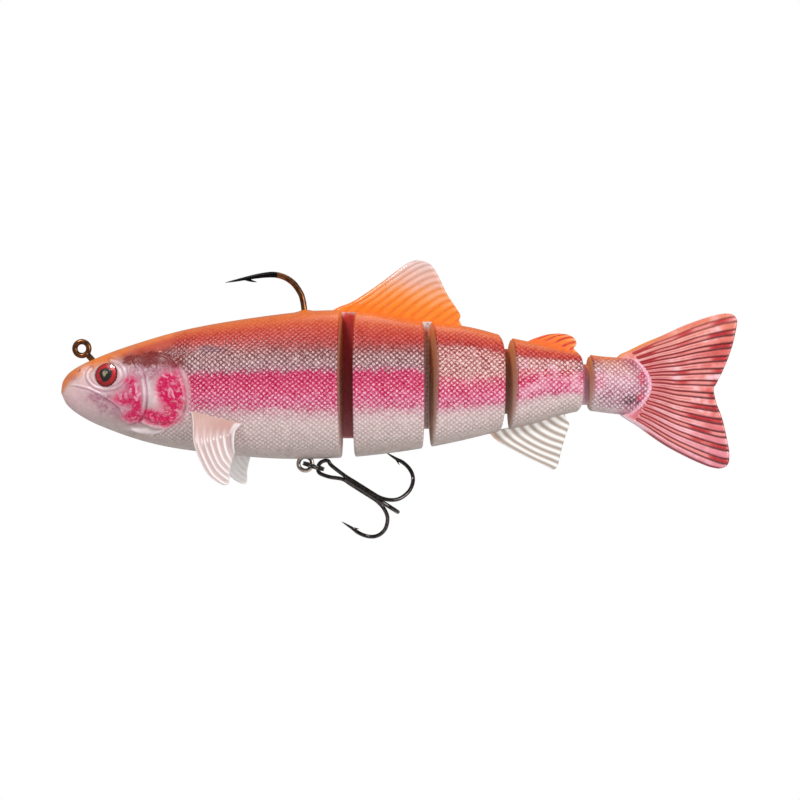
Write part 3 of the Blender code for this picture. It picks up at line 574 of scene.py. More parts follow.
def eye_material():
    """A printed eye: dark rim, red iris with darker flames, and a black pupil with a painted golden
    reflection.
    """
    made, tree, shader = new_material("eye_print", Coat_Weight=1.0, Coat_Roughness=0.03)
    fine = place_noise(tree, 1.6, 3.0)
    colour = shade(tree, attribute(tree, "paint", "Color"), swayed(tree, fine, 0.5, 0.7, 1.0))
    wire_up(tree, shader, colour, fit(tree, fine, 0.3, 0.7, 0.2, 0.3), fine, 0.00002)
    return made


def lens_material():
    """A clear dome, seen mostly by what it reflects at its edges."""
    made, tree, shader = new_material("clear_dome", IOR=1.45, Coat_Weight=1.0, Coat_Roughness=0.02)
    fine = place_noise(tree, 1.2, 2.0)
    colour = blend_colour(tree, fine, (0.02, 0.02, 0.02, 1), (0.05, 0.04, 0.04, 1))
    edge = put(tree, "Fresnel", {"IOR": 1.35}).outputs[0]
    tree.links.new(fit(tree, edge, 0.0, 1.0, 0.0, 0.8), shader.inputs["Alpha"])
    wire_up(tree, shader, colour, fit(tree, fine, 0.3, 0.7, 0.02, 0.06), fine, 0.000004)
    return made


# ---------------------------------------------------------------- body skin


def skin(x, angle):
    """Y and Z of the skin at X; angle is 90 degrees at the back and -90 at the belly."""
    top, bottom = back(x), belly(x)
    middle = bottom + (top - bottom) * WIDEST_AT
    upper = angle >= 0
    power = np.where(upper, BACK_POWER, BELLY_POWER)
    reach = np.where(upper, top - middle, middle - bottom)
    y = half_width(x) * np.abs(np.cos(angle)) ** (2 / power)
    z = middle + np.sign(np.sin(angle)) * reach * np.abs(np.sin(angle)) ** (2 / power)
    return y, z


def end_face(face):
    """X of an end face at Y and Z: flat over the web, leaning to the flanks, rounded to back and belly."""
    x0, flank, top, bottom = face

    def station(y, z):
        half = half_width(x0)
        middle = belly(x0) + (back(x0) - belly(x0)) * WIDEST_AT
        upper = np.clip((z - middle) / (back(x0) - middle), 0, 1)
        lower = np.clip((middle - z) / (middle - belly(x0)), 0, 1)
        side = np.clip(y / half - 0.15, 0, 1) / 0.85
        return x0 + flank * side + top * upper ** 5 + bottom * lower ** 5

    return station


def nose_end(y, z):
    """X of the snout's tip, where the skin closes to a point."""
    return np.full(np.shape(z), BACK_LINE[0][0])


def bulging_end(y, z):
    """X of the body's rounded end at a height, where the tail fin leaves it."""
    return TAIL_END_MIDDLE - TAIL_END_BULGE * (z - TAIL_END_HEIGHT) ** 2


def half_ring(front, rear, share, inset):
    """Evenly spaced skin points of the +Y side, from the back to the belly, with their arc positions."""
    angle = np.linspace(pi / 2, -pi / 2, RING_SAMPLES)
    x = np.full(RING_SAMPLES, front(0, TAIL_END_HEIGHT) * (1 - share) + rear(0, TAIL_END_HEIGHT) * share)
    for _ in range(RING_SETTLING):
        y, z = skin(x, angle)
        x = front(y, z) * (1 - share) + rear(y, z) * share
    y[0] = y[-1] = 0
    if inset:
        ny, nz = -np.gradient(z), np.gradient(y)
        length = np.hypot(ny, nz)
        y = np.maximum(y - inset * ny / length, 0)
        z = z - inset * nz / length
        y[0] = y[-1] = 0
    lengths = np.concatenate([[0], np.cumsum(np.hypot(np.diff(y), np.diff(z)))])
    wanted = np.linspace(0, lengths[-1], FLANK_COLUMNS + 1)
    widest = np.interp(0, -angle, lengths)
    return [np.interp(wanted, lengths, v) for v in (x, y, z)] + [widest - wanted]


def section_rows(length, crowd=0.0, round_front=True):
    """Rows of a section as (share of its length, inset): rounded at its end faces, plain between them."""
    count = int(length / ROW_SPACING)
    edge = EDGE_RADIUS / length
    first = [(edge * (1 - cos(a)), EDGE_RADIUS * (1 - sin(a))) for a in EDGE_TURNS]
    last = [(1 - share, inset) for share, inset in reversed(first)]
    if not round_front:
        first = [(0.0, 0.0)]
    start = edge if round_front else 0.0
    middle = []
    for k in range(count + 1):
        t = k / count
        t = t + crowd * (t * t - t)
        middle.append((start + (1 - edge - start) * t, 0.0))
    return first + middle[0 if round_front else 1:] + last


def face_rows(ring, station):
    """Rows that close an end face, from a rim ring to the middle plane."""
    y, z, s = ring[1:]
    return [[station(y * share, z), y * share, z, s] for share in FACE_SHARES]


def full_ring(half, places=False):
    """A whole ring from the +Y half, down that side and up the other; places have their Y turned over."""
    other = half[-2:0:-1].copy()
    if places:
        other[:, 1] *= -1
    return np.concatenate([half, other])


# The parts of the head, as X and Z along paths and at places on the flank.
GILL_REAR = [
    (22.0, -1.6), (24.2, -2.3), (26.0, -3.9), (27.1, -6.0), (27.9, -8.4), (28.5, -10.7),
    (28.9, -13.0), (28.8, -15.0), (28.2, -16.6), (27.1, -18.0), (25.7, -19.4), (24.1, -20.8),
    (22.2, -21.9), (19.4, -22.8), (16.4, -22.9), (13.5, -22.0),
]
SHOULDER = [
    (24.3, -0.6), (26.3, -2.8), (27.9, -4.9), (29.3, -6.7), (30.3, -8.8), (30.8, -11.2), (30.7, -13.5),
    (30.0, -15.8), (28.9, -17.6),
]
CHEEK_REAR = [
    (15.6, -3.6), (16.6, -4.8), (17.5, -6.3), (18.1, -8.4), (18.5, -10.7), (18.6, -12.6),
    (18.5, -14.4), (18.1, -16.1), (17.4, -17.5), (16.3, -18.7), (14.6, -19.6), (12.5, -19.9),
]
MOUTH = [
    (-4.9, -10.9), (-3.0, -10.2), (-1.2, -10.1), (1.0, -10.5), (2.9, -11.0), (4.3, -11.6), (5.7, -12.3),
    (7.3, -13.1), (8.7, -14.0), (9.9, -14.8), (10.8, -15.6), (11.4, -16.5), (11.8, -17.4), (11.8, -18.2),
]
SOCKET_OUTER = [
    (8.6, -3.2), (10.9, -3.9), (12.4, -5.3), (13.1, -6.9), (12.9, -8.4), (11.9, -9.6), (10.3, -10.5),
    (8.0, -10.9), (5.8, -10.6), (4.0, -9.6), (2.8, -8.1), (2.7, -6.6), (3.5, -5.4),
]
SOCKET_INNER = [(9.8, -4.4), (11.0, -5.5), (11.6, -7.0), (11.3, -8.7), (10.2, -9.9)]
LOWER_GILL_RIDGES = [
    [(18.4, -17.6), (21.2, -18.8), (24.0, -18.9), (26.3, -18.2), (28.0, -17.1)],
    [(17.0, -19.1), (19.6, -20.2), (22.1, -20.5), (24.7, -20.0), (26.9, -18.8)],
    [(14.3, -21.2), (16.4, -22.0), (19.2, -22.0), (22.0, -21.5), (24.0, -20.6)],
]
NOSTRIL = (0.1, -5.9)


def ridge(distance, width):
    """1 on a line and falling to nothing beside it."""
    return np.exp(-(distance / width) ** 2)


def head_relief(x, z):
    """The head's relief: height, how much of it is head, and how far it is a crease or a ridge; the paint
    lays painted shade in the creases and painted highlight on the ridges.
    """
    gill = -path_distance(GILL_REAR, x, z)
    shoulder = -path_distance(SHOULDER, x, z)
    cheek = -path_distance(CHEEK_REAR, x, z)
    in_front = step(31.5, 28.5, x)
    gill_span = in_front * step(16.5, 23, x) * step(2.0, -2.2, z)
    gill_plate = step(-0.1, 0.3, gill) * gill_span
    shoulder_span = step(24.0, 27.0, x) * in_front * step(-19, -16, z) * step(0.5, -1.5, z)
    shoulder_plate = step(-0.1, 0.6, shoulder) * shoulder_span
    cheek_span = step(12.0, 16.0, x) * step(20.5, 19.0, x) * step(-2.0, -5.0, z)
    cheek_plate = step(-0.08, 0.25, cheek) * step(11.0, 17.0, x) * step(-1.5, -5.0, z) * step(20.5, 18.7, x)
    height = 0.75 * gill_plate + 0.22 * shoulder_plate * (1 - step(-0.05, 0.3, gill)) + 0.55 * cheek_plate

    socket = np.abs(path_distance(SOCKET_OUTER, x, z))
    inner = np.abs(path_distance(SOCKET_INNER, x, z))
    mouth = path_distance(MOUTH, x, z)
    lips = step(12.6, 11.6, x) * step(-3.5, 0.5, x)
    rays = sum(ridge(path_distance(path, x, z), 0.34) for path in LOWER_GILL_RIDGES)
    nostril = np.hypot(x - NOSTRIL[0], z - NOSTRIL[1])
    # pale marks the ridges, the socket rims, the lips and the gill rays for painted highlight; dark marks the
    # creases and the nostril for painted shade; both also shape the height.
    pale = ridge(cheek - 0.4, 0.22) * cheek_span + 0.6 * ridge(gill - 0.35, 0.22) * gill_span + 1.3 * rays
    pale += 0.6 * ridge(socket, 0.2) + 0.45 * ridge(inner, 0.2) + 0.8 * ridge(mouth - 0.4, 0.26) * lips
    dark = ridge(cheek + 0.3, 0.28) * cheek_span + ridge(gill + 0.2, 0.22) * gill_span
    dark += 0.5 * ridge(socket - 0.6, 0.25) + 0.55 * ridge(mouth, 0.2) * lips + ridge(nostril, 0.35)
    height = height + 0.3 * pale - 0.2 * dark - 0.2 * ridge(nostril, 0.33) + 0.15 * ridge(nostril - 0.5, 0.22)

    head = np.maximum(step(-0.1, 0.5, gill) * in_front, shoulder_plate)
    head = np.maximum(head, step(26.5, 24.0, x) * step(-2.3, -0.6, z))
    head = np.maximum(head, step(19.5, 16.5, x))
    return height, np.clip(head, 0, 1), np.clip(dark, 0, 1), np.clip(pale, 0, 1)


def spot(x, z, cx, cz, rx, rz):
    """A soft round patch, 1 at its centre."""
    return np.exp(-(((x - cx) / rx) ** 2 + ((z - cz) / rz) ** 2))


# Edges of the painted bands as X and Z: the grey band's top, the stripe's top and its bottom.
GREY_TOP = [(20, -0.4), (30, 0.3), (50, 0.9), (103, 0.2), (113, -1.8), (124, -3.0), (145, -3.4)]
STRIPE_TOP = [
    (20, -6.6), (30, -6.2), (50, -5.7), (90, -5.4), (94, -6.9),
    (110, -6.9), (115, -5.6), (124, -5.2), (145, -7),
]
STRIPE_BOTTOM = [(20, -15.0), (50, -15.2), (92, -15.0), (112, -14.0), (124, -11.6), (145, -11)]

# Levels of the belly line, those three edges from below, and the back line.
BAND_LEVELS = [0.0, 0.29, 0.5, 0.7, 1.0]

# Paint by level from the belly to the back: level, crest colour, valley colour. The lowest stops darken
# towards the belly line as painted shade.
BODY_PAINT = [
    (0.0, (174, 158, 152), (146, 130, 124)), (0.06, (198, 180, 174), (162, 144, 140)),
    (0.12, (220, 200, 196), (178, 156, 154)), (0.2, (230, 208, 205), (188, 160, 160)),
    (0.255, (230, 194, 200), (180, 120, 134)), (0.28, (228, 160, 182), (178, 48, 88)),
    (0.32, (228, 146, 176), (182, 26, 84)), (0.36, (228, 128, 164), (184, 4, 72)),
    (0.4, (226, 104, 146), (180, 0, 62)), (0.44, (220, 84, 132), (172, 0, 56)),
    (0.475, (216, 86, 132), (168, 0, 54)), (0.49, (204, 150, 164), (140, 40, 66)),
    (0.52, (208, 172, 176), (118, 64, 72)), (0.58, (200, 160, 160), (112, 58, 64)),
    (0.63, (196, 138, 136), (104, 40, 44)), (0.68, (196, 106, 104), (122, 28, 30)),
    (0.73, (202, 84, 78), (144, 22, 22)), (0.79, (206, 78, 64), (160, 32, 24)),
    (0.85, (208, 88, 62), (176, 48, 28)), (0.92, (220, 110, 60), (198, 76, 32)),
    (1.0, (240, 130, 54), (228, 108, 30)),
]
TAIL_PAINT = [
    (0.0, (206, 190, 188), (156, 130, 140)), (0.2, (218, 190, 198), (140, 72, 100)),
    (0.45, (230, 198, 204), (184, 112, 132)), (0.62, (224, 176, 164), (172, 106, 108)),
    (0.75, (204, 128, 98), (178, 84, 70)), (0.9, (226, 132, 84), (206, 98, 56)),
    (1.0, (236, 136, 60), (224, 118, 44)),
]

# Paint of the end faces by level, and of the head by depth under the back line; the head's deepest stops
# darken towards the jaw as painted shade.
FACE_PAINT = [
    (0.0, (184, 160, 148)), (0.35, (182, 142, 126)), (0.6, (182, 128, 104)),
    (0.85, (196, 128, 86)), (1.0, (222, 134, 70)),
]
HEAD_PAINT = [
    (0.0, (240, 138, 52)), (1.3, (236, 124, 60)), (2.6, (226, 146, 106)),
    (4.0, (224, 190, 186)), (8.0, (226, 190, 194)), (14.0, (204, 176, 176)),
    (19.0, (192, 172, 168)), (24.0, (176, 156, 150)), (34.0, (160, 142, 136)),
]

# Colours of the head's patches, and what the painted shade in a crease leaves of red, green and blue.
MAGENTA, ROSE, MAROON, MAUVE = (202, 0, 80), (226, 96, 134), (118, 28, 26), (158, 84, 114)
CREASE_SHADE_TONE = (0.4, 0.14, 0.26)

# Soft patches on the head: centre X and Z, spread in X and Z, strength.
MAGENTA_PATCHES = [
    (26.0, -12.2, 2.5, 4.6, 2.2), (23.6, -10.2, 2.0, 2.6, 1.6), (22.4, -18.4, 3.9, 1.6, 1.8),
    (19.2, -17.2, 1.8, 1.2, 1.1), (14.6, -9.2, 1.9, 1.8, 1.1), (12.8, -13.4, 3.0, 1.7, 1.2),
    (16.2, -14.2, 1.3, 4.0, 1.5), (14.4, -17.8, 2.2, 1.6, 1.3),
]
MAUVE_PATCHES = [
    (5.4, -13.0, 3.2, 1.6, 1.7), (8.4, -15.8, 3.4, 2.2, 1.3), (14.2, -12.0, 4.2, 5.0, 1.4),
    (18.6, -6.2, 3.8, 2.2, 1.5), (11.6, -18.4, 2.6, 1.4, 0.8), (23.4, -5.4, 3.4, 2.4, 1.2),
    (-1.6, -8.0, 1.6, 1.0, 0.8),
]
MAROON_PATCHES = [
    (14.5, -3.2, 2.6, 1.2, 1.2), (20.0, -3.0, 4.4, 1.8, 1.6), (25.2, -2.6, 3.6, 2.2, 1.3),
    (32.0, -0.6, 5.0, 2.0, 0.5), (26.8, -5.4, 1.2, 2.8, 0.6),
]
ROSE_PATCHES = [(22.6, -13.2, 2.4, 3.6, 1.0), (21.5, -17.0, 3, 1.8, 0.5), (13.5, -12, 4, 4, 0.5)]
# Painted highlights: near-white patches where the head catches the light.
HIGHLIGHT_PATCHES = [
    (19.0, -10.4, 0.9, 3.4, 1.1), (17.8, -6.2, 1.4, 1.0, 1.0), (12.6, -6.4, 1.0, 1.8, 0.9),
    (2.0, -6.0, 1.6, 1.4, 0.7), (6.0, -11.9, 2.4, 0.5, 0.8), (16.5, -21.4, 3.4, 0.5, 1.0),
    (22.8, -19.4, 2.6, 0.3, 1.3), (21.2, -13.2, 1.0, 2.4, 0.6),
]


def band(x, z):
    """Level of a point, from 0 at the belly to 1 at the back, with the bands' edges at BAND_LEVELS."""
    edges = [belly(x), *(profile(line)(x) for line in (STRIPE_BOTTOM, STRIPE_TOP, GREY_TOP)), back(x)]
    result = np.zeros(np.shape(x))
    for k in range(len(edges) - 1):
        low, high = edges[k], np.maximum(edges[k + 1], edges[k] + 0.1)
        t = np.clip((z - low) / (high - low), 0, 1)
        rise = BAND_LEVELS[k + 1] - BAND_LEVELS[k]
        result = np.where(z >= low, BAND_LEVELS[k] + rise * t, result)
    return result


def patch_field(patches, x, z):
    """Sum of soft patches."""
    return sum(w * spot(x, z, cx, cz, rx, rz) for cx, cz, rx, rz, w in patches)


def paint_pair(stops, level):
    """Crest and valley colours at a level."""
    return (ramp([(stop[0], stop[k]) for stop in stops], level) for k in (1, 2))


def section_tints(x, z, level, tail):
    """What differs from section to section: where, crest colour and share, valley colour and share."""
    third_on, from_end = step(92, 94, x), bulging_end(0, z) - x
    grey = third_on * step(134, 130, x) * step(0.4, 0.5, level) * step(0.74, 0.64, level)
    stripe = third_on * step(113, 111, x) * step(0.28, 0.34, level) * step(0.5, 0.46, level)
    worn = 0.6 * noise(x, z, 2.4, 4) + 0.4 * noise(x, z, 0.9, 15)
    worn = step(112, 119, x) * (1 - tail) * step(0.42, 0.75, worn) * step(0.25, 0.12, np.abs(level - 0.46))
    dark = np.maximum(spot(x, z, 35.0, -0.8, 5.0, 1.5), 1.1 * spot(x, z, 146.0, -13.6, 2.8, 1.6))
    dark = step(0.3, 0.75, dark * (0.5 + noise(x, z, 1.1, 5)))
    blush = spot(x, z, 149.0, -7.6, 1.3, 2.6) + spot(x, z, 148.6, -12.8, 1.4, 1.4)
    blush = step(0.3, 0.8, blush * (0.5 + noise(x, z, 1.1, 17)))
    return [
        (grey, (248, 206, 200), 0.65, (164, 40, 30), 0.55),
        (stripe, (248, 180, 206), 0.25, (0, 0, 0), 0.0),
        (worn, (240, 206, 216), 0.6, (226, 150, 174), 0.55),
        (step(7.0, 2.0, from_end) * tail, (184, 104, 124), 0.65, (140, 50, 82), 0.6),
        (dark, (132, 74, 92), 0.6, (74, 26, 44), 0.9),
        (blush, (204, 80, 112), 0.8, (170, 22, 62), 0.9),
        (step(1.6, 0.7, from_end) * tail, (238, 196, 208), 1.0, (228, 150, 176), 1.0),
    ]


def head_paint(x, z, crease, raised):
    """The head's colour, clouded and darkening towards the jaw as painted shade, with a red top, a rosy gill
    cover, painted highlight patches and ridges, and painted shade in its creases.
    """
    under_back = back(x) - z
    face = ramp(HEAD_PAINT, under_back + sway(x, z, 2.4, 6, 1.2))
    red = step(7, 17, x) * step(0.6, 2.4, under_back) * step(-4.6, -1.6, z + sway(x, z, 1.5, 7, 1.0))
    face = tint(face, (196, 78, 56), 0.92 * red)
    cloudy = 0.5 * noise(x, z, 1.9, 8) + 0.32 * noise(x, z, 0.85, 9) + 0.18 * noise(x, z, 0.4, 13)
    face = face * (0.88 + 0.24 * cloudy)[..., None]
    rose = step(0.2, 0.9, patch_field(ROSE_PATCHES, x, z))
    face = tint(face, ROSE, 0.55 * rose * (0.4 + cloudy))
    # Painted highlight: the near-white patches, clouded.
    pearl_and_highlight = np.clip(patch_field(HIGHLIGHT_PATCHES, x, z) * (0.3 + 1.1 * cloudy), 0, 0.85)
    face = tint(face, (252, 236, 240), pearl_and_highlight)
    # Painted shade in the creases and painted highlight on the ridges.
    face = mix(face, face * np.array(CREASE_SHADE_TONE), 0.85 * crease)
    return tint(face, (252, 236, 242), 0.45 * raised)


def body_paint(x, z, s, head, crease, raised):
    """Crest and valley colours of the painted skin, and how strongly the head's marks show."""
    wobble = sway(x, s, 0.55, 1, 0.04) + sway(x, s, 1.4, 14, 0.012) + sway(x, s, 5.0, 2, 0.01)
    level = np.clip(band(x, z) + wobble, 0, 1)
    crest, valley = paint_pair(BODY_PAINT, level)
    tail = step(132, 140, x + sway(x, z, 3, 3, 4))
    tail_crest, tail_valley = paint_pair(TAIL_PAINT, level)
    crest, valley = mix(crest, tail_crest, tail), mix(valley, tail_valley, tail)
    for where, on_crest, crest_share, in_valley, valley_share in section_tints(x, z, level, tail):
        crest = tint(crest, on_crest, crest_share * where)
        valley = tint(valley, in_valley, valley_share * where)
    face = head_paint(x, z, crease, raised)
    crest, valley = mix(crest, face * 1.06, head), mix(valley, face * 0.9, head)
    kinds = (MAGENTA_PATCHES, MAUVE_PATCHES, MAROON_PATCHES)
    marks = np.stack([np.clip(patch_field(patches, x, z), 0, 1.3) for patches in kinds], axis=-1)
    return crest, valley, marks * step(31.0, 28.5, x)[..., None]


def face_paint(x, z):
    """Crest and valley colours of an end face, a little lighter and darker than its own."""
    height = (z - belly(x)) / (back(x) - belly(x))
    colour = ramp(FACE_PAINT, height + sway(x * 3, z, 2.0, 11, 0.08))
    return colour * 1.02, colour * 0.97


def sink_socket(points):
    """Sinks the skin under the eye, with a soft rim round it."""
    local = place(points, eye_matrix(1).inverted())
    r = np.hypot(local[..., 0], local[..., 1])
    near = (r < EYE_RADIUS + 0.7) & (local[..., 2] > -3)
    wall = SOCKET_FLOOR + 3.4 * step(EYE_RADIUS + 0.02, EYE_RADIUS + 0.55, r)
    local[..., 2] = np.where(near, np.minimum(local[..., 2], wall), local[..., 2])
    return place(local, eye_matrix(1))


def outward_normals(points):
    """The skin's outward directions at a grid of points of the +Y side, flat in the middle plane."""
    along, down = np.gradient(points, axis=0), np.gradient(points, axis=1)
    normal = np.cross(down, along)
    normal[:, 0, 1] = normal[:, -1, 1] = 0
    normal /= np.maximum(np.linalg.norm(normal, axis=-1), 1e-9)[..., None]
    facing = normal[..., 1] * np.maximum(points[..., 1], 0.01)
    facing = facing + normal[..., 2] * (points[..., 2] - TAIL_END_HEIGHT)
    return normal * np.where(facing < 0, -1, 1)[..., None]


def scale_lattice(x, s):
    """Two counts of the crossing lines of scales at places along and down the skin, a little uneven."""
    lean = sway(x, s, 2.3, 12, 0.3) + sway(x, s, 0.8, 16, 0.16)
    return x / SCALE_PITCH + s / SCALE_DROP + lean, x / SCALE_PITCH - s / SCALE_DROP - lean


def add_body(name, body, front, rear, rows, surface, close_front=True):
    """One section's skin, with its scale and head relief, replacing the frame's plain solid."""
    rings = [half_ring(front, rear, share, inset) for share, inset in rows]
    ahead = face_rows(rings[0], front)[::-1] if close_front else []
    behind = face_rows(rings[-1], rear)
    kinds = [1] * len(ahead) + [0] * len(rings) + [1] * len(behind)
    rings = ahead + rings + behind
    grid = np.array(rings).transpose(0, 2, 1)
    x, y, z, s = (grid[..., k] for k in range(4))
    on_face = np.repeat(np.array(kinds, float)[:, None], x.shape[1], axis=1)

    with_head = body == "front_section"
    height, head, dark, pale = head_relief(x, z) if with_head else (np.zeros_like(x) for _ in range(4))
    level = band(x, z)
    scaly = (1 - head) * step(0.03, 0.09, level) * step(1.0, 0.88, level) * (1 - on_face)
    scaly = scaly * (0.35 + 0.65 * step(0.98, 0.8, level))
    first = front(0, TAIL_END_HEIGHT) if close_front else -100
    last = rear(0, TAIL_END_HEIGHT)
    between = step(first - 0.2, first + 0.9, x) * step(last + 0.2, last - 0.9, x)
    a, b = scale_lattice(x, s)
    bumps = (np.abs(np.cos(pi * a)) * np.abs(np.cos(pi * b))) ** 0.8
    height = height + SCALE_HEIGHT * (bumps - 0.4) * scaly * between
    points = grid[..., :3]
    points = points + outward_normals(points) * (height * (1 - on_face))[..., None]
    if with_head:
        points[..., 2] += MOUND_RISE * spot(x, y, MOUND_X, 0, MOUND_REACH, MOUND_REACH) * step(4, 7, z)
        points = sink_socket(points)

    crest, valley, marks = body_paint(x, z, s, head, dark, pale)
    face_crest, face_valley = face_paint(x, z)
    crest, valley = mix(crest, face_crest, on_face), mix(valley, face_valley, on_face)
    halves = {
        "crest": crest, "valley": valley, "lay": np.stack([a, b, scaly], axis=-1),
        "marks": marks * (1 - on_face)[..., None],
    }
    fields = {key: np.concatenate([full_ring(row) for row in half]) for key, half in halves.items()}
    faces = grid_faces(x.shape[0], 2 * (x.shape[1] - 1), True)
    points = np.concatenate([full_ring(ring, places=True) for ring in points])
    piece = mesh_piece(name, points, faces, surface, fields)
    settle(piece, body, body, "soft_skin")


def add_bodies(surface):
    """The five sections of the body, from the head to the tail."""
    nose = BACK_LINE[0][0]
    front = end_face(FRONT_REAR)
    rows = section_rows(FRONT_REAR[0] - nose, 0.35, round_front=False)
    rows = [(0.0004, 0.0)] + [(max(share, 0.002), inset) for share, inset in rows[1:]]
    add_body("body_skin_front", "front_section", nose_end, front, rows, surface, close_front=False)
    middles = [
        ("body_skin_2", "section_2", SECTION_2_FRONT, SECTION_2_REAR),
        ("body_skin_3", "section_3", SECTION_3_FRONT, SECTION_3_REAR),
        ("body_skin_4", "section_4", SECTION_4_FRONT, SECTION_4_REAR),
    ]
    for name, body, first, last in middles:
        add_body(name, body, end_face(first), end_face(last), section_rows(last[0] - first[0]), surface)
    tail_rows = section_rows(TAIL_END_MIDDLE - TAIL_FRONT[0])
    add_body("body_skin_tail", "tail_section", end_face(TAIL_FRONT), bulging_end, tail_rows, surface)


# ---------------------------------------------------------------- webs


# Paint of each web by height, from its lower edge to its upper one. The first two are painted lighter, as
# painted light that makes up for the shade in their narrow gaps.
WEB_PAINTS = [
    [
        (0.0, (200, 130, 136)), (0.25, (186, 78, 86)), (0.7, (180, 44, 50)),
        (0.9, (190, 42, 44)), (0.965, (222, 60, 46)), (1.0, (220, 170, 166)),
    ],
    [
        (0.0, (240, 214, 208)), (0.4, (244, 204, 190)), (0.8, (246, 186, 160)),
        (0.9, (240, 140, 110)), (0.94, (226, 196, 192)), (1.0, (226, 206, 204)),
    ],
    [(0.0, (170, 136, 122)), (0.5, (176, 124, 96)), (0.85, (196, 124, 80)), (1.0, (214, 116, 70))],
    [(0.0, (190, 148, 160)), (0.5, (198, 140, 160)), (0.85, (212, 126, 128)), (1.0, (232, 116, 84))],
]
# Each web: the sections it joins, their end faces, and the Z of its lower and upper edges.
WEBS = [
    ("front_section", "section_2", FRONT_REAR, SECTION_2_FRONT, -23.9, 9.9),
    ("section_2", "section_3", SECTION_2_REAR, SECTION_3_FRONT, -21.4, 7.3),
    ("section_3", "section_4", SECTION_3_REAR, SECTION_4_FRONT, -17.4, -0.1),
    ("section_4", "tail_section", SECTION_4_REAR, TAIL_FRONT, -15.0, -4.2),
]
WEB_HALF, WEB_SEAT, WEB_FILLET = 1.4, 0.8, 0.3
WEB_COLUMNS, WEB_ROW, WEB_ROUNDING = 15, 0.3, 0.7
DOTTED_WEB, DOT_SPACING, DOT_INSET = 1, 1.2, 0.35


def add_webs(surface):
    """The thin webs between the sections, flared where they join them."""
    for number, (before, after, first, last, low, high) in enumerate(WEBS):
        start, stop = first[0], last[0]
        xs = np.linspace(start - WEB_SEAT, stop + WEB_SEAT, WEB_COLUMNS)
        zs = np.linspace(low, high, int((high - low) / WEB_ROW))
        x, z = np.meshgrid(xs, zs, indexing="ij")
        to_face = np.minimum(np.clip(x - start, 0, 9), np.clip(stop - x, 0, 9))
        flare = WEB_FILLET * np.exp(-to_face / 0.2)
        end = np.minimum(z - low, high - z)
        rounded = np.sqrt(np.clip(1 - (1 - np.clip(end / WEB_ROUNDING, 0, 1)) ** 2, 0.02, 1))
        thick = WEB_HALF * rounded + flare * step(0, 0.6, end)
        middle = np.stack([x, np.zeros_like(x), z], axis=-1)
        height = (z - low) / (high - low)
        paint = ramp(WEB_PAINTS[number], height + sway(x, z, 0.8, 20 + number, 0.05))
        if number == DOTTED_WEB:
            spaced = step(0.75, 0.95, np.abs(np.sin(z * pi / DOT_SPACING)))
            dots = ridge(x - (stop - DOT_INSET), 0.16) * spaced
            paint = tint(paint, (92, 40, 44), 0.8 * dots)
        piece = sheet_piece(f"web_{number + 1}", middle, thick, surface, {"paint": paint})
        bend_between(piece, start, stop)
        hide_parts(f"hinge_web_{number + 1}")


# ---------------------------------------------------------------- fins


FIN_ROOT_DEPTH = 0.5
DORSAL_CUT, DORSAL_RISE = 81.0, 16
DORSAL_PAINT = [
    (0.0, (250, 124, 12)), (0.26, (252, 132, 26)), (0.46, (242, 152, 92)),
    (0.66, (228, 168, 146)), (1.0, (222, 190, 184)),
]
ADIPOSE_PAINT = [(0.0, (240, 110, 40)), (0.5, (248, 128, 44)), (1.0, (250, 136, 48))]
# Anal fin paint by rib height: its grey-brown low end, between the ribs, is painted shade.
ANAL_PAINT = [
    (0.0, (168, 152, 142)), (0.3, (190, 176, 166)), (0.6, (216, 206, 198)),
    (0.85, (240, 236, 232)), (1.0, (246, 243, 240)),
]
TAIL_RIBS, TAIL_RIB_ASPECT = 13, 19
TAIL_BEND_START, TAIL_BEND_END = 150, 157
TAIL_MEMBRANE = [
    (0.2, (204, 82, 78)), (0.45, (220, 110, 104)), (0.62, (234, 144, 140)), (0.8, (246, 194, 204)),
]
TAIL_RIB_PAINT = [(0.25, (176, 28, 36)), (0.45, (200, 60, 60)), (0.7, (232, 138, 134))]
TAIL_GROOVE_PAINT = [(0.0, (160, 0, 24)), (0.5, (118, 0, 14)), (1.0, (84, 0, 8))]

# The pectoral fins' roots: how far out, how high, at what X, how deep in the skin, and their nodes' half.
PECTORAL_OUT, PECTORAL_TOP, PECTORAL_X = 11.6, -19.0, 36.0
PECTORAL_ROOT_DEPTH, PECTORAL_NODE_HALF = 0.7, 0.5

# Where they start and stop bending: X, how much further out than the root, and Z.
PECTORAL_BEND_START, PECTORAL_BEND_END = (36.9, 0, -17.9), (37.6, 0.9, -22.5)
PECTORAL_PAINT = [
    (0.0, (204, 164, 152)), (0.2, (200, 158, 150)), (0.4, (204, 170, 166)), (1.0, (212, 190, 188)),
]
# How far the far fin sweeps back and drops, and the near-white painted light laid over it against the body's
# shade.
FAR_FIN_SWEEP, FAR_FIN_DROP, FAR_FIN_PAINTED_LIGHT = 1.7, 1.3, (252, 250, 247)


def fin_grid(root, rim, first, last, rays, steps, bend):
    """X and Z of a fin between its root and rim, and its first and last ray, with its shares u and v."""
    u = np.linspace(0, 1, rays)[:, None, None]
    v = np.linspace(0, 1, steps)[None, :, None]
    root, rim = even_path(root, rays)[:, None, :], even_path(rim, rays)[:, None, :]
    first, last = even_path(first, steps)[None, :, :], even_path(last, steps)[None, :, :]
    flat = root * (1 - v) + rim * v
    flat = flat + (1 - u) * (first - first[:, :1] * (1 - v) - first[:, -1:] * v)
    flat = flat + u * (last - last[:, :1] * (1 - v) - last[:, -1:] * v)
    chord = rim - root
    across = np.stack([-chord[..., 1], chord[..., 0]], axis=-1)
    flat = flat + bend * 4 * v * (1 - v) * 4 * u * (1 - u) * across
    return flat[..., 0], flat[..., 1], u[..., 0] + 0 * v[..., 0], v[..., 0] + 0 * u[..., 0]


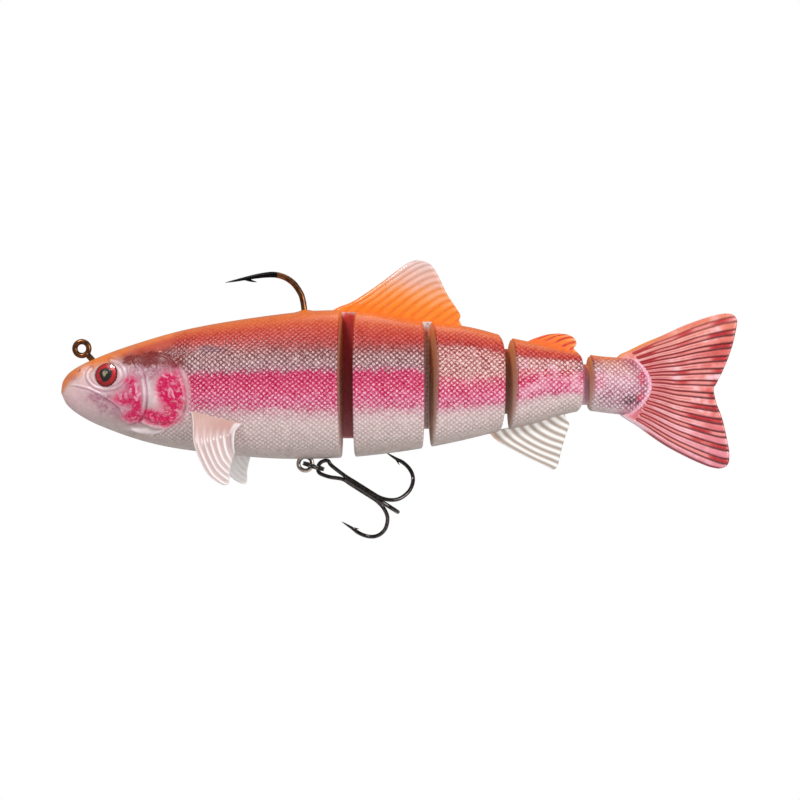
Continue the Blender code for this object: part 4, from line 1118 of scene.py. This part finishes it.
def cut_in_two(piece, x, names):
    """Cuts a fin at X, where both halves are stiff with the same body."""
    parts = []
    for name, keep_low in zip(names, (True, False)):
        mesh = piece.data.copy()
        shape = bmesh.new()
        shape.from_mesh(mesh)
        cut = bmesh.ops.bisect_plane(
            shape, geom=shape.verts[:] + shape.edges[:] + shape.faces[:], plane_co=(x * MM, 0, 0),
            plane_no=(1, 0, 0), clear_outer=keep_low, clear_inner=not keep_low,
        )
        edges = [e for e in cut["geom_cut"] if isinstance(e, bmesh.types.BMEdge)]
        bmesh.ops.holes_fill(shape, edges=edges, sides=0)
        shape.to_mesh(mesh)
        shape.free()
        parts.append(add_object(name, mesh))
    bpy.data.objects.remove(piece)
    return parts


def rib_wave(phase, sharp):
    """Height of evenly spaced ribs across a fin, 0 to 1, with one at each whole number."""
    return (0.5 + 0.5 * np.cos(2 * pi * phase)) ** sharp


def fin_plate(name, middle, half, surface, paint, phase, u, v, lengthwise=2):
    """A fin from its middle points, half thickness and paint, with streaks that follow its rays."""
    fields = {"paint": paint, "ray": np.stack([phase, v * lengthwise, u], axis=-1)}
    return sheet_piece(name, np.stack(middle, axis=-1), half, surface, fields)


def bend_between(piece, start, stop):
    """Bakes a piece's place into its mesh; start and stop are not used."""
    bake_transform(piece)


def fin_thickness(u, v, root_half, rim_half, ribs, rib_rise):
    """Half thickness of a fin with ribs, thin at its front ray and its rim."""
    half = root_half + (rim_half - root_half) * v ** 0.7
    half = half + rib_rise * (ribs - 0.3) * step(0.0, 0.2, v) * step(1.0, 0.85, v)
    half = half * (0.25 + 0.75 * step(0.0, 0.05, u) * step(1.0, 0.97, v))
    return np.maximum(half, 0.06)


def add_dorsal(surface):
    """The back fin, one soft plate over two gaps, cut where it is stiff with the second section."""
    root = [(x, float(back(x)) - FIN_ROOT_DEPTH) for x in (65.8, 72, 80, 88, 96, 101.2)]
    first = [
        (65.8, 9.8), (68.6, 11.2), (72.7, 12.9), (79.7, 17.6), (84.0, 20.9), (86.6, 22.7), (88.6, 23.5),
    ]
    rim = [
        (88.6, 23.5), (90.2, 23.5), (92.8, 22.5), (94.8, 19.7), (97.3, 14.6),
        (99.6, 11.1), (100.9, 8.9), (100.6, 7.6), (101.2, 6.4),
    ]
    last = [(101.2, 5.5), (101.2, 5.8), (101.2, 6.4)]
    x, z, u, v = fin_grid(root, rim, first, last, 150, 70, 0.09)
    phase = u * 12.5
    ribs = rib_wave(phase, 0.8)
    half = fin_thickness(u, v, 0.75, 0.32, ribs, 0.12)
    # The ribs lift the paint up the ramp and lighten it, and the grooves darken it: painted highlight on the
    # ribs and painted shade between them.
    rise = (z - back(x)) / DORSAL_RISE + (ribs - 0.5) * 0.16 + sway(x, z, 2, 30, 0.1)
    base = ramp(DORSAL_PAINT, rise)
    paint = mix(base * 0.84, base * 1.12, ribs)
    fin = fin_plate("dorsal_fin", (x, 0 * x, z), half, surface, paint, phase, u, v)
    ahead, behind = cut_in_two(fin, DORSAL_CUT, ("dorsal_fin_leading", "dorsal_fin_trailing"))
    bend_between(ahead, FRONT_REAR[0], SECTION_2_FRONT[0])
    bend_between(behind, SECTION_2_REAR[0], SECTION_3_FRONT[0])
    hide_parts("dorsal_fin_front")
    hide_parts("dorsal_fin_middle", "dorsal_fin_rear")


def add_adipose(surface):
    """The small fin behind the back fin, red between its ribs, with painted highlights on the ribs towards
    the rim.
    """
    root = [(x, float(back(x)) - FIN_ROOT_DEPTH) for x in (118.4, 122, 126, 130, 132.0)]
    first = [(118.4, 1.5), (119.4, 2.2), (121.4, 3.0), (124.2, 3.8), (127.0, 4.05)]
    rim = [(127.0, 4.05), (129.2, 3.8), (131.0, 3.0), (131.8, 1.7), (131.6, 0.7), (131.1, 0.1), (132.0, -0.9)]
    last = [(132.0, -1.4), (132.0, -1.1), (132.0, -0.9)]
    x, z, u, v = fin_grid(root, rim, first, last, 70, 34, 0.05)
    phase = u * 5.5
    ribs = rib_wave(phase, 0.8)
    half = fin_thickness(u, v, 0.7, 0.4, ribs, 0.12)
    base = ramp(ADIPOSE_PAINT, v + sway(x, z, 1.2, 31, 0.3))
    red = step(0.45, 0.85, 1 - ribs) * step(0.15, 0.4, v) * step(0.97, 0.85, u)
    red = red * (0.6 + 0.9 * noise(x, z, 1.3, 32))
    paint = tint(base, (204, 48, 40), np.clip(red, 0, 0.95))
    # Painted highlight: pale lines on the ribs towards the rim.
    paint = tint(paint, (252, 184, 150), 0.5 * step(0.8, 1.0, ribs) * step(0.5, 0.85, v))
    fin = fin_plate("adipose_fin_plate", (x, 0 * x, z), half, surface, paint, phase, u, v)
    settle(fin, "section_4", "adipose_fin", "orange_fin")


def add_anal(surface):
    """The anal fin, one soft plate over the third gap."""
    root = [(x, float(belly(x)) + FIN_ROOT_DEPTH) for x in (108.4, 113, 118, 123, 128.7)]
    first = [(108.4, -22.4), (110.2, -24.3), (112.6, -25.9), (118.4, -28.9), (123.5, -31.3), (125.4, -32.3)]
    rim = [(125.4, -32.3), (126.7, -31.4), (127.9, -26.8), (128.9, -23.3), (129.9, -20.2), (128.9, -18.6)]
    last = [(128.7, -17.0), (128.8, -17.8), (128.9, -18.6)]
    x, z, u, v = fin_grid(root, rim, first, last, 130, 56, -0.05)
    phase = u * 8.5
    ribs = rib_wave(phase, 0.9)
    half = fin_thickness(u, v, 0.6, 0.3, ribs, 0.2)
    # Paint by rib height, with painted shade between the ribs and an orange tint at the root's front.
    paint = tint(ramp(ANAL_PAINT, ribs), (226, 140, 70), 0.6 * step(0.06, 0.0, u) * step(0.3, 0.1, v))
    fin = fin_plate("anal_fin", (x, 0 * x, z), half, surface, paint, phase, u, v)
    bend_between(fin, SECTION_3_REAR[0], SECTION_4_FRONT[0])
    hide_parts("anal_fin_front", "anal_fin_rear")


def tail_rays(u, v):
    """The tail fin's ribs, the grooves round them, and the pale painted highlight lines beside the grooves,
    each 0 to 1.
    """
    phase = u * TAIL_RIBS
    off = np.abs(phase - np.round(phase))
    rayed = step(0.045, 0.06, u)
    start = 0.035 + 0.07 * np.abs(2 * u - 1) ** 3
    ribs = step(0.2, 0.13, off) * (step(start, start + 0.03, v) * rayed)
    reach = np.hypot(off, np.maximum(start + 0.03 - v, 0) * TAIL_RIB_ASPECT)
    grooves = ridge(reach - 0.2, 0.08 + 0.06 * step(0.6, 0.1, v)) * rayed
    groove_highlights = ridge(reach - 0.38, 0.06) * rayed
    return ribs, grooves, groove_highlights


def tail_paint(x, z, u, v, ribs, grooves, groove_highlights):
    """Red rays with dark grooves and pale painted highlight lines beside them, on a membrane that turns from
    orange to pink.
    """
    membrane = ramp(TAIL_MEMBRANE, 0.7 * noise(x, z, 3.6, 40) + 0.3 * noise(x, z, 1.1, 41))
    depth = 0.62 + 0.38 * step(0.06, 0.22, u) * (0.7 + 0.6 * noise(x, z, 2.0, 43))
    over_membrane = [
        ((238, 146, 108), 0.5 * step(0.3, 0.0, u)),
        ((230, 150, 172), 0.55 * step(0.6, 0.9, u)),
        ((196, 70, 78), 0.6 * step(0.6, 0.1, v) * step(0.1, 0.3, u)),
    ]
    over_all = [
        ((232, 168, 182), 0.8 * step(0.06, 0.0, v) * step(0.02, 0.1, u)),
        ((232, 140, 44), step(0.035, 0.01, u) * step(0.45, 0.3, v)),
        ((130, 36, 52), 0.7 * step(0.955, 0.985, u) * step(0.25, 0.35, v)),
        ((214, 186, 194), 0.8 * step(0.93, 0.97, u) * step(0.3, 0.2, v)),
    ]
    for colour, share in over_membrane:
        membrane = tint(membrane, colour, share)
    paint = mix(membrane, ramp(TAIL_RIB_PAINT, noise(x, z, 5.0, 44)), ribs)
    # Painted highlight: pale lines beside the grooves.
    paint = tint(paint, (250, 206, 206), 0.6 * groove_highlights * step(0.9, 0.5, v))
    paint = mix(paint, ramp(TAIL_GROOVE_PAINT, v), np.clip(grooves * depth * 1.2, 0, 1))
    for colour, share in over_all:
        paint = tint(paint, colour, share)
    return paint


def add_tail_fin(surface):
    """The forked tail fin, its rays fanning from the curved end of the body."""
    root = [
        (142.4, -2.6), (145.6, -3.4), (148.6, -5.6), (150.6, -8.4),
        (150.7, -11.2), (148.9, -14.4), (146.4, -16.9), (143.4, -17.8),
    ]
    first = [
        (142.4, -2.6), (143.6, -1.5), (145.6, -0.6), (149.9, 1.5),
        (154.7, 3.5), (161.1, 6.4), (167.5, 8.6), (171.4, 9.4),
    ]
    rim = [
        (171.4, 9.4), (173.4, 9.1), (174.5, 7.9), (174.6, 6.4), (173.6, 1.6), (172.3, -2.4), (170.7, -6.2),
        (169.1, -9.4), (168.4, -10.8), (169.1, -14.4), (170.7, -18.7), (172.2, -25.3), (172.6, -28.5),
        (172.3, -30.6), (171.2, -31.7), (169.6, -32.0),
    ]
    last = [
        (143.4, -17.8), (145.8, -19.3), (148.3, -20.9), (154.7, -25.4),
        (161.1, -28.9), (166.6, -31.3), (169.6, -32.0),
    ]
    x, z, u, v = fin_grid(root, rim, first, last, 330, 110, 0.0)
    ribs, grooves, groove_highlights = tail_rays(u, v)
    half = 0.85 - 0.5 * v ** 0.6 + 0.1 * ribs - 0.16 * grooves
    half = half * (0.3 + 0.7 * step(0.0, 0.012, u) * step(1.0, 0.988, u) * step(1.0, 0.985, v))
    half = np.maximum(half, 0.08)
    paint = tail_paint(x, z, u, v, ribs, grooves, groove_highlights)
    phase = u * TAIL_RIBS * 2
    fin = fin_plate("tail_fin_plate", (x, 0 * x, z), half, surface, paint, phase, u, v, lengthwise=3)
    bend_between(fin, TAIL_BEND_START, TAIL_BEND_END)
    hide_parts("tail_fin")


def flank_half_width(x):
    """Heights and half widths of the skin at X, with the heights rising."""
    angle = np.linspace(-pi / 2, pi / 2, 181)
    y, z = skin(np.full(angle.shape, x), angle)
    return z, y


def pectoral_out(z, u, v):
    """How far a paired fin stands out: it leaves the flank and curves into its node's splayed plane."""
    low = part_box("pectoral_fin_left")[0] / MM
    splay = (-low.y - PECTORAL_NODE_HALF - PECTORAL_OUT) / (PECTORAL_TOP - low.z)
    plane = PECTORAL_OUT + splay * (PECTORAL_TOP - z)
    start = np.interp(z, *flank_half_width(PECTORAL_X)) - PECTORAL_ROOT_DEPTH
    out = start + (plane - start) * (1 - (1 - np.clip(v / 0.45, 0, 1)) ** 2)
    return out + 1.3 * step(0.86, 1.0, u) * step(0.0, 0.3, v) * step(1.3, 0.6, v)


def pectoral_half(u, v, ribs, relief):
    """Half thickness of a paired fin, with raised ribs and a thicker rear edge."""
    half = 0.5 - 0.15 * v + relief * ribs
    half = half + 0.24 * step(0.92, 0.97, u) * step(0.0, 0.12, v) + 0.14 * step(0.05, 0.02, u)
    return half * (0.35 + 0.65 * step(1.0, 0.97, v) * step(0.0, 0.02, u) * step(1.0, 0.98, u))


def pectoral_paint(u, v, ribs):
    """White ribs and edges on a rosy grey fin, the ribs' white partly painted highlight, and a painted
    highlight where the rear edge curls.
    """
    white = ribs + step(0.9, 0.96, u) * step(0.02, 0.12, v) + step(0.05, 0.0, u)
    # Painted highlight where the rear edge curls, near the root.
    white = white + step(0.84, 0.9, u) * step(0.03, 0.1, v) * step(0.45, 0.3, v)
    return tint(ramp(PECTORAL_PAINT, v), (250, 244, 243), 0.92 * np.clip(white, 0, 1))


def add_pectorals(surface):
    """The paired fins, rooted on the flank under the gill and splayed outwards; the far one is swept back and
    lightened with painted light.
    """
    root = [(30.2, -16.6), (33.0, -17.1), (36.9, -17.9), (40.5, -18.8), (43.9, -19.6)]
    rim = [(39.2, -35.5), (40.4, -35.5), (40.9, -34.4), (40.9, -32.4), (41.5, -29.6), (42.2, -27.2)]
    first = [
        (30.2, -16.6), (30.8, -19.2), (31.3, -24.1), (32.6, -27.9),
        (35.0, -32.4), (37.3, -34.5), (39.2, -35.5),
    ]
    last = [(43.9, -19.6), (42.9, -20.6), (42.2, -22.0), (42.0, -24.5), (42.2, -27.2)]
    for side, word, relief in ((-1, "left", 0.3), (1, "right", 0.12)):
        x, z, u, v = fin_grid(root, rim, first, last, 120, 90, -0.03)
        out = pectoral_out(z, u, v)
        ribs = rib_wave(u * 6.4 + 0.25, 1.8) * step(0.9, 0.84, u) * step(0.06 + 0.1 * u, 0.6, v)
        half = pectoral_half(u, v, ribs, relief)
        paint = pectoral_paint(u, v, ribs)
        if word == "right":
            x = x + FAR_FIN_SWEEP * step(0.1, 0.8, v)
            z = z - FAR_FIN_DROP * v
            # Painted light: the far fin is lightened, standing in for light that the body keeps off it.
            paint = tint(paint, FAR_FIN_PAINTED_LIGHT, 0.75)
        middle = (x, side * out, z)
        fin = fin_plate(f"pectoral_fin_plate_{word}", middle, half, surface, paint, u * 6.6, u, v)
        body = f"pectoral_fin_{word}"
        start, stop = (
            (x_at * MM, side * (PECTORAL_OUT + y_more) * MM, z_at * MM)
            for x_at, y_more, z_at in (PECTORAL_BEND_START, PECTORAL_BEND_END)
        )
        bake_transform(fin)
        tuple(start)
        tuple(stop)
        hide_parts(body)


# ---------------------------------------------------------------- eyes


IRIS_PAINT = [
    (0.0, (150, 4, 10)), (0.6, (206, 8, 16)), (0.82, (228, 16, 36)),
    (0.93, (196, 8, 24)), (1.0, (118, 6, 16)),
]


def eye_matrix(side):
    """Local Z along the eye's outward axis, at the frame's iris."""
    word = "left" if side < 0 else "right"
    low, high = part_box(f"eye_iris_{word}")
    middle = (low + high) / 2 / MM
    outward = Vector((-sin(EYE_YAW), side * cos(EYE_YAW) * cos(EYE_LIFT), sin(EYE_LIFT))).normalized()
    up = Vector((0, 0, 1))
    across = up.cross(outward).normalized()
    up = outward.cross(across)
    turn = Matrix((across, up, outward)).transposed()
    return Matrix.Translation(middle) @ turn.to_4x4()


def disc_grid(radius, top, under, rings, sides):
    """A round piece between two domes, each given by its height at the rim and its rise to the middle."""
    points = []
    outward = range(rings + 1)
    shares = [(i / rings, top) for i in outward] + [(i / rings, under) for i in reversed(outward)]
    for share, (edge, rise) in shares:
        for k in range(sides):
            t = 2 * pi * k / sides
            points.append((radius * share * cos(t), radius * share * sin(t), edge + rise * (1 - share ** 2)))
    return np.array(points), grid_faces(len(shares), sides, True)


def place(points, matrix):
    """Points moved by a matrix."""
    m = np.array(matrix)
    return points @ m[:3, :3].T + m[:3, 3]


def iris_paint(disc):
    """Red with lighter flames, dark at the rim and the middle."""
    r = np.hypot(disc[:, 0], disc[:, 1]) / EYE_RADIUS
    turn = np.arctan2(disc[:, 1], disc[:, 0])
    flame = step(0.62, 0.9, noise(turn * 6, r * 2, 0.6, 50)) * step(0.5, 0.7, r) * step(0.95, 0.85, r)
    return tint(ramp(IRIS_PAINT, r), (236, 96, 100), 0.35 * flame)


def pupil_paint(disc, mirror):
    """Black with a painted golden reflection; mirror is -1 on the far side."""
    x, y = disc[:, 0] * mirror, disc[:, 1]
    # Painted reflection: a golden fleck on the black pupil.
    gold_reflection = spot(x, y, -0.35, 0.15, 0.55, 1.0) + 0.7 * spot(x, y, 0.35, 0.5, 0.3, 0.4)
    gold_reflection = gold_reflection * (0.45 + noise(x, y, 0.5, 51))
    black = np.tile(linear((14, 13, 13)), (len(disc), 1))
    return tint(black, (196, 184, 140), np.clip(step(0.3, 0.8, gold_reflection), 0, 0.85))


def add_eyes(print_surface, lens_surface):
    """Each eye: a printed iris, a raised pupil, and a clear dome over both."""
    iris, iris_faces = disc_grid(EYE_RADIUS, (0.25, 0.4), (-0.25, 0.0), 22, 64)
    pupil, pupil_faces = disc_grid(1.0, (0.78, 0.16), (0.68, 0.0), 14, 48)
    reach = 1.7 + 0.15 * np.cos(3 * (np.arctan2(pupil[:, 1], pupil[:, 0]) + pi / 2))
    pupil[:, 0] *= reach
    pupil[:, 1] *= reach * 1.04
    lens, lens_faces = disc_grid(EYE_RADIUS, (0.5, 1.15), (0.4, 0.62), 16, 64)
    for side, word in ((-1, "left"), (1, "right")):
        red, black = {"paint": iris_paint(iris)}, {"paint": pupil_paint(pupil, -side)}
        kinds = [
            ("eye_print", "iris", iris, iris_faces, print_surface, red),
            ("eye_pupil_print", "pupil", pupil, pupil_faces, print_surface, black),
            ("eye_dome", "lens", lens, lens_faces, lens_surface, {}),
        ]
        for name, kind, points, faces, surface, fields in kinds:
            piece = mesh_piece(f"{name}_{word}", place(points, eye_matrix(side)), faces, surface, fields)
            settle(piece, "front_section", f"eye_{kind}_{word}", kind)


# ---------------------------------------------------------------- hooks and rings


BARB_STEPS = 14

# The top hook: its wire's radius, how long its point is, and its middle line as X and Z.
TOP_WIRE, TOP_POINT_LENGTH = 0.79, 12.5
LINE_EYE_RADIUS = 1.85
TOP_HOOK_ROUTE = [
    (1.3, -1.4), (3.2, -3.5), (6.2, -7.2), (9.4, -10.4), (13.5, -12.2), (19, -12.6), (32, -12.6),
    (46, -12.6), (51.5, -11.8), (56.5, -8.2), (59.0, -2.5), (59.4, 4.0), (59.3, 9.9), (58.75, 13.5),
    (57.9, 15.4), (56.6, 17.2), (55.0, 18.5), (53.3, 19.3), (51.8, 19.65), (50.0, 19.7), (47.0, 19.35),
    (43.6, 18.7), (41.05, 18.15), (38.25, 17.6),
]
TOP_BARB_AT = 43.6

# The belly wire and its ring, and the split ring, whose tilt is from the fish's length.
RIG_WIRE = 0.56
BELLY_WIRE_ROUTE = [
    (59.57, -28.6), (59.57, -25.0), (58.6, -21.6), (55.5, -19.6), (51.0, -19.0), (47.2, -19.0),
]
BELLY_RING_CENTRE, BELLY_RING_RADIUS = (59.57, -30.67), 1.84
SPLIT_RING_RADIUS, SPLIT_RING_TILT, SPLIT_RING_OFFSET = 2.6, radians(17), -0.3
SPLIT_COIL_WIDTH, SPLIT_COIL_THICK, SPLIT_COIL_STEP = 0.75, 0.5, 0.56
SPLIT_STEP_ANGLE, SPLIT_RING_OPENING, SPLIT_RING_FROM = radians(38), radians(6), radians(100)

# The treble: its shank's tilt, its first hook's turn about the shank, and the third hook's extra turn.
TREBLE_TILT, TREBLE_FIRST_HOOK, THIRD_HOOK_TURN = radians(32.2), radians(27), radians(6)
TREBLE_START = np.array((68.8, 0, -33.76))
TREBLE_BUNDLE, TREBLE_WIRE, TREBLE_POINT_LENGTH = 0.62, 0.53, 5.0
TREBLE_BRAZED = 9.6

# One hook as distance along the shank and out from it, and the loop of the double hook as X and Z.
TREBLE_HOOK = [
    (12.0, 0.7), (14.4, 1.45), (16.3, 2.85), (17.35, 4.6), (17.95, 6.95), (17.75, 9.1),
    (17.0, 10.8), (15.8, 12.0), (14.2, 12.75), (12.3, 13.05), (10.3, 12.9), (7.0, 12.9),
]
TREBLE_LOOP = [
    (66.6, -31.2), (65.7, -30.0), (64.6, -29.9), (63.4, -30.6),
    (62.9, -31.9), (63.3, -33.1), (64.7, -33.8), (66.5, -34.3),
]


def in_plane(points):
    """Points in the fish's middle plane, from their X and Z."""
    return np.array([(x, 0, z) for x, z in points], float)


def taper(path, radius, point_length, both=False):
    """A radius for each point of a wire that narrows to a needle point at its last end, or at both."""
    lengths = np.concatenate([[0], np.cumsum(np.linalg.norm(np.diff(path, axis=0), axis=1))])
    left = lengths[-1] - lengths
    if both:
        left = np.minimum(left, lengths)
    return radius * np.clip(left / point_length, 0.02, 1) ** 0.62


def barb_mesh(at, ahead, towards, run, rise, base):
    """A small curved spur that leaves a wire's middle line at a point and leans back along it."""
    ahead, towards = np.array(ahead, float), np.array(towards, float)
    shares = [(0.0, 0.0), (0.35, 0.42), (0.7, 0.76), (1.0, 1.0)]
    path = even_path([at - ahead * run * a + towards * rise * b for a, b in shares], BARB_STEPS)
    return wire_mesh(path, base * np.linspace(1, 0.03, BARB_STEPS) ** 0.7, 12)


def circle(centre, radius, count):
    """Points round a circle in the fish's middle plane."""
    turns = np.linspace(0, 2 * pi, count, endpoint=False)
    x, z = centre[0] + radius * np.cos(turns), centre[1] + radius * np.sin(turns)
    return np.stack([x, 0 * turns, z], axis=1)


def add_top_hook(surface):
    """The big hook: line eye, shank through the body, and the point over the back."""
    path = even_path(in_plane(TOP_HOOK_ROUTE), 260)
    wire = wire_mesh(path, taper(path, TOP_WIRE, TOP_POINT_LENGTH), 24)
    eye = wire_mesh(circle((0, 0), LINE_EYE_RADIUS, 72), TOP_WIRE * 0.93, 24, closed=True)
    near = path[path[:, 0] > 40]
    upper = near[near[:, 2] > 17]
    at = upper[np.argmin(np.abs(upper[:, 0] - TOP_BARB_AT))]
    barb = barb_mesh(at, (-0.98, 0, -0.2), (0.2, 0, -0.98), 2.9, 1.55, 0.5)
    points, faces = join_meshes([wire, eye, barb])
    black = step(52.4, 51.8, points[:, 0]) * step(10, 14, points[:, 2])
    piece = mesh_piece("top_hook_wire", points, faces, surface, {"black": black})
    settle(piece, "front_section", "top_hook", "bronzed_steel")


def add_belly_ring(surface):
    """The wire that leaves the ballast weight through the belly, with a ring at its end."""
    wire = wire_mesh(even_path(in_plane(BELLY_WIRE_ROUTE), 60), RIG_WIRE, 20)
    ring = wire_mesh(circle(BELLY_RING_CENTRE, BELLY_RING_RADIUS, 64), RIG_WIRE, 20, closed=True)
    points, faces = join_meshes([wire, ring])
    piece = mesh_piece("belly_ring", points, faces, surface)
    settle(piece, "front_section", "belly_wire", "black_nickel")


def add_split_ring(surface):
    """Two flat coils with a step between them, their edges rounded."""
    along = np.array((cos(SPLIT_RING_TILT), 0, -sin(SPLIT_RING_TILT)))
    axis = np.array((sin(SPLIT_RING_TILT), 0, cos(SPLIT_RING_TILT)))
    across = np.array((0.0, 1.0, 0.0))
    centre = in_plane([BELLY_RING_CENTRE])[0] + along * (SPLIT_RING_OFFSET + SPLIT_RING_RADIUS)
    turn = 4 * pi - SPLIT_STEP_ANGLE - SPLIT_RING_OPENING
    count, sides = 180, 16
    points = []
    for k in range(count):
        t = turn * k / (count - 1)
        stepped = min(max((t - (2 * pi - SPLIT_STEP_ANGLE)) / SPLIT_STEP_ANGLE, 0), 1)
        level = SPLIT_COIL_STEP * (stepped * stepped * (3 - 2 * stepped) - 0.5)
        angle = t + SPLIT_RING_FROM
        out = along * cos(angle) + across * sin(angle)
        middle = centre + out * SPLIT_RING_RADIUS + axis * level
        for m in range(sides):
            a = 2 * pi * m / sides
            w, h = np.sign(cos(a)) * abs(cos(a)) ** 0.5, np.sign(sin(a)) * abs(sin(a)) ** 0.5
            points.append(middle + out * w * SPLIT_COIL_WIDTH / 2 + axis * h * SPLIT_COIL_THICK / 2)
    faces = grid_faces(count, sides, True)
    faces += [list(range(sides)), list(range((count - 1) * sides, count * sides))]
    piece = mesh_piece("split_ring_coil", np.array(points), faces, surface)
    settle(piece, "split_ring", "split_ring", "black_nickel")


def treble_out(angle):
    """The direction a hook of the treble stands out of its shank, at an angle about it."""
    normal = np.array((sin(TREBLE_TILT), 0, cos(TREBLE_TILT)))
    return normal * cos(angle) + np.array((0.0, 1.0, 0.0)) * sin(angle)


def treble_side(angle, first):
    """One hook's middle line, from a distance along the shank to its point."""
    along = np.array((cos(TREBLE_TILT), 0, -sin(TREBLE_TILT)))
    shank = [(first + (TREBLE_BRAZED - first) * k / 3, TREBLE_BUNDLE) for k in range(4)]
    return np.array([TREBLE_START + along * s + treble_out(angle) * r for s, r in shank + TREBLE_HOOK])


def treble_barb(path, angle):
    """The barb near the end of a hook's middle line."""
    at = path[-1] + (path[-2] - path[-1]) * 1.05
    ahead = (path[-1] - path[-2]) / np.linalg.norm(path[-1] - path[-2])
    return barb_mesh(at, ahead, -treble_out(angle), 1.7, 1.05, 0.34)


def add_treble(surface):
    """A double hook bent from one wire, a third hook, and the brazed joint of their shanks."""
    angles = [TREBLE_FIRST_HOOK + 2 * pi * k / 3 for k in range(3)]
    angles[2] += THIRD_HOOK_TURN
    side_a, side_b = treble_side(angles[0], 1.2), treble_side(angles[1], 1.2)
    route = np.concatenate([side_a[::-1], in_plane(TREBLE_LOOP), side_b])
    path = even_path(route, 420)
    double = wire_mesh(path, taper(path, TREBLE_WIRE, TREBLE_POINT_LENGTH, both=True), 20)
    points, faces = join_meshes([double, treble_barb(side_a, angles[0]), treble_barb(side_b, angles[1])])
    piece = mesh_piece("treble_double_wire", points, faces, surface)
    settle(piece, "treble_hook", "treble_double_hook", "black_nickel")

    side_c = treble_side(angles[2], 1.6)
    path = even_path(side_c, 220)
    third = wire_mesh(path, taper(path, TREBLE_WIRE, TREBLE_POINT_LENGTH), 20)
    points, faces = join_meshes([third, treble_barb(side_c, angles[2])])
    piece = mesh_piece("treble_third_wire", points, faces, surface)
    settle(piece, "treble_hook", "treble_third_hook", "black_nickel")


# ---------------------------------------------------------------- set


CAMERA_LENS, CAMERA_PLACE = 70.9, (0.0848, -0.42, -0.0137)
FLOOR_MIDDLE, FLOOR_SIDES = 0.085, 96

# Each lamp's place in metres, its width in metres, and its power in watts; all face one point.
LAMPS = [
    ("key", (-0.2, -0.44, 0.46), 0.14, 2.6),
    ("top", (0.15, 0.12, 0.6), 0.3, 0.7),
    ("side", (0.5, -0.4, 0.1), 0.25, 1.9),
]
LIT_POINT = Vector((85, 0, -10))


def add_surroundings(scene):
    """White surroundings, which give less light than they look."""
    world = bpy.data.worlds.new("studio")
    world.use_nodes = True
    tree = world.node_tree
    background = tree.nodes["Background"]
    background.inputs["Color"].default_value = (1, 1, 1, 1)
    seen = put(tree, "LightPath").outputs["Is Camera Ray"]
    tree.links.new(fit(tree, seen, 0.0, 1.0, AMBIENT, 1.0), background.inputs["Strength"])
    scene.world = world


def add_floor():
    """A pale round floor, well below the object."""
    mesh = bpy.data.meshes.new("floor")
    turns = [2 * pi * k / FLOOR_SIDES for k in range(FLOOR_SIDES)]
    disc = [(FLOOR_MIDDLE + FLOOR_RADIUS * cos(t), FLOOR_RADIUS * sin(t), FLOOR_LEVEL) for t in turns]
    mesh.from_pydata(disc, [], [list(range(FLOOR_SIDES))])
    floor = add_object("floor", mesh)
    made, _, shader = new_material("floor_white", Roughness=1.0, Emission_Strength=0.3)
    shader.inputs["Base Color"].default_value = (0.8, 0.8, 0.8, 1)
    shader.inputs["Emission Color"].default_value = (1, 1, 1, 1)
    mesh.materials.append(made)


def add_set():
    """The surroundings, the floor, soft lights, and the camera square to the left flank."""
    scene = bpy.context.scene
    scene.view_settings.view_transform = "Standard"
    add_surroundings(scene)
    add_floor()
    for name, spot_at, across, power in LAMPS:
        lamp = bpy.data.lights.new(name, "AREA")
        lamp.size = across
        lamp.energy = power
        holder = add_object(name, lamp)
        holder.location = spot_at
        towards = LIT_POINT * MM - Vector(spot_at)
        holder.rotation_euler = towards.to_track_quat("-Z", "Y").to_euler()

    camera = bpy.data.cameras.new("camera")
    camera.sensor_width = 36
    camera.lens = CAMERA_LENS
    camera.clip_start = 0.01
    holder = add_object("camera", camera)
    holder.location = CAMERA_PLACE
    holder.rotation_euler = (radians(90), 0, 0)
    scene.camera = holder


def build():
    """Everything in the scene, each kind of piece with its own surface."""
    add_set()
    skin_surface = skin_material()
    orange_surface = fin_material("orange_fin_skin", 0.35, 0.28, 0.42, 0.35)
    pearl_surface = fin_material("pearl_fin_skin", 0.25, 0.3, 0.42, 0.22)
    tail_surface = fin_material("tail_fin_skin", 0.4, 0.26, 0.4, 0.4)
    bright_nickel = metal_material("ring_nickel", (120, 96, 84), (206, 190, 178), 0.12, 0.25)
    dark_nickel = metal_material("hook_nickel", (34, 32, 33), (84, 78, 76), 0.1, 0.2)
    print_surface = eye_material()

    add_bodies(skin_surface)
    add_webs(web_material())
    add_dorsal(orange_surface)
    add_adipose(orange_surface)
    add_anal(pearl_surface)
    add_tail_fin(tail_surface)
    add_pectorals(pearl_surface)
    add_eyes(print_surface, lens_material())
    add_top_hook(top_hook_material())
    add_belly_ring(bright_nickel)
    add_split_ring(dark_nickel)
    add_treble(dark_nickel)

    fabric, lead = fabric_material(), lead_material()
    for name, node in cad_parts.items():
        if name.startswith("woven_core") or name == "ballast_weight":
            node.data.materials.clear()
            node.data.materials.append(lead if name == "ballast_weight" else fabric)


build()
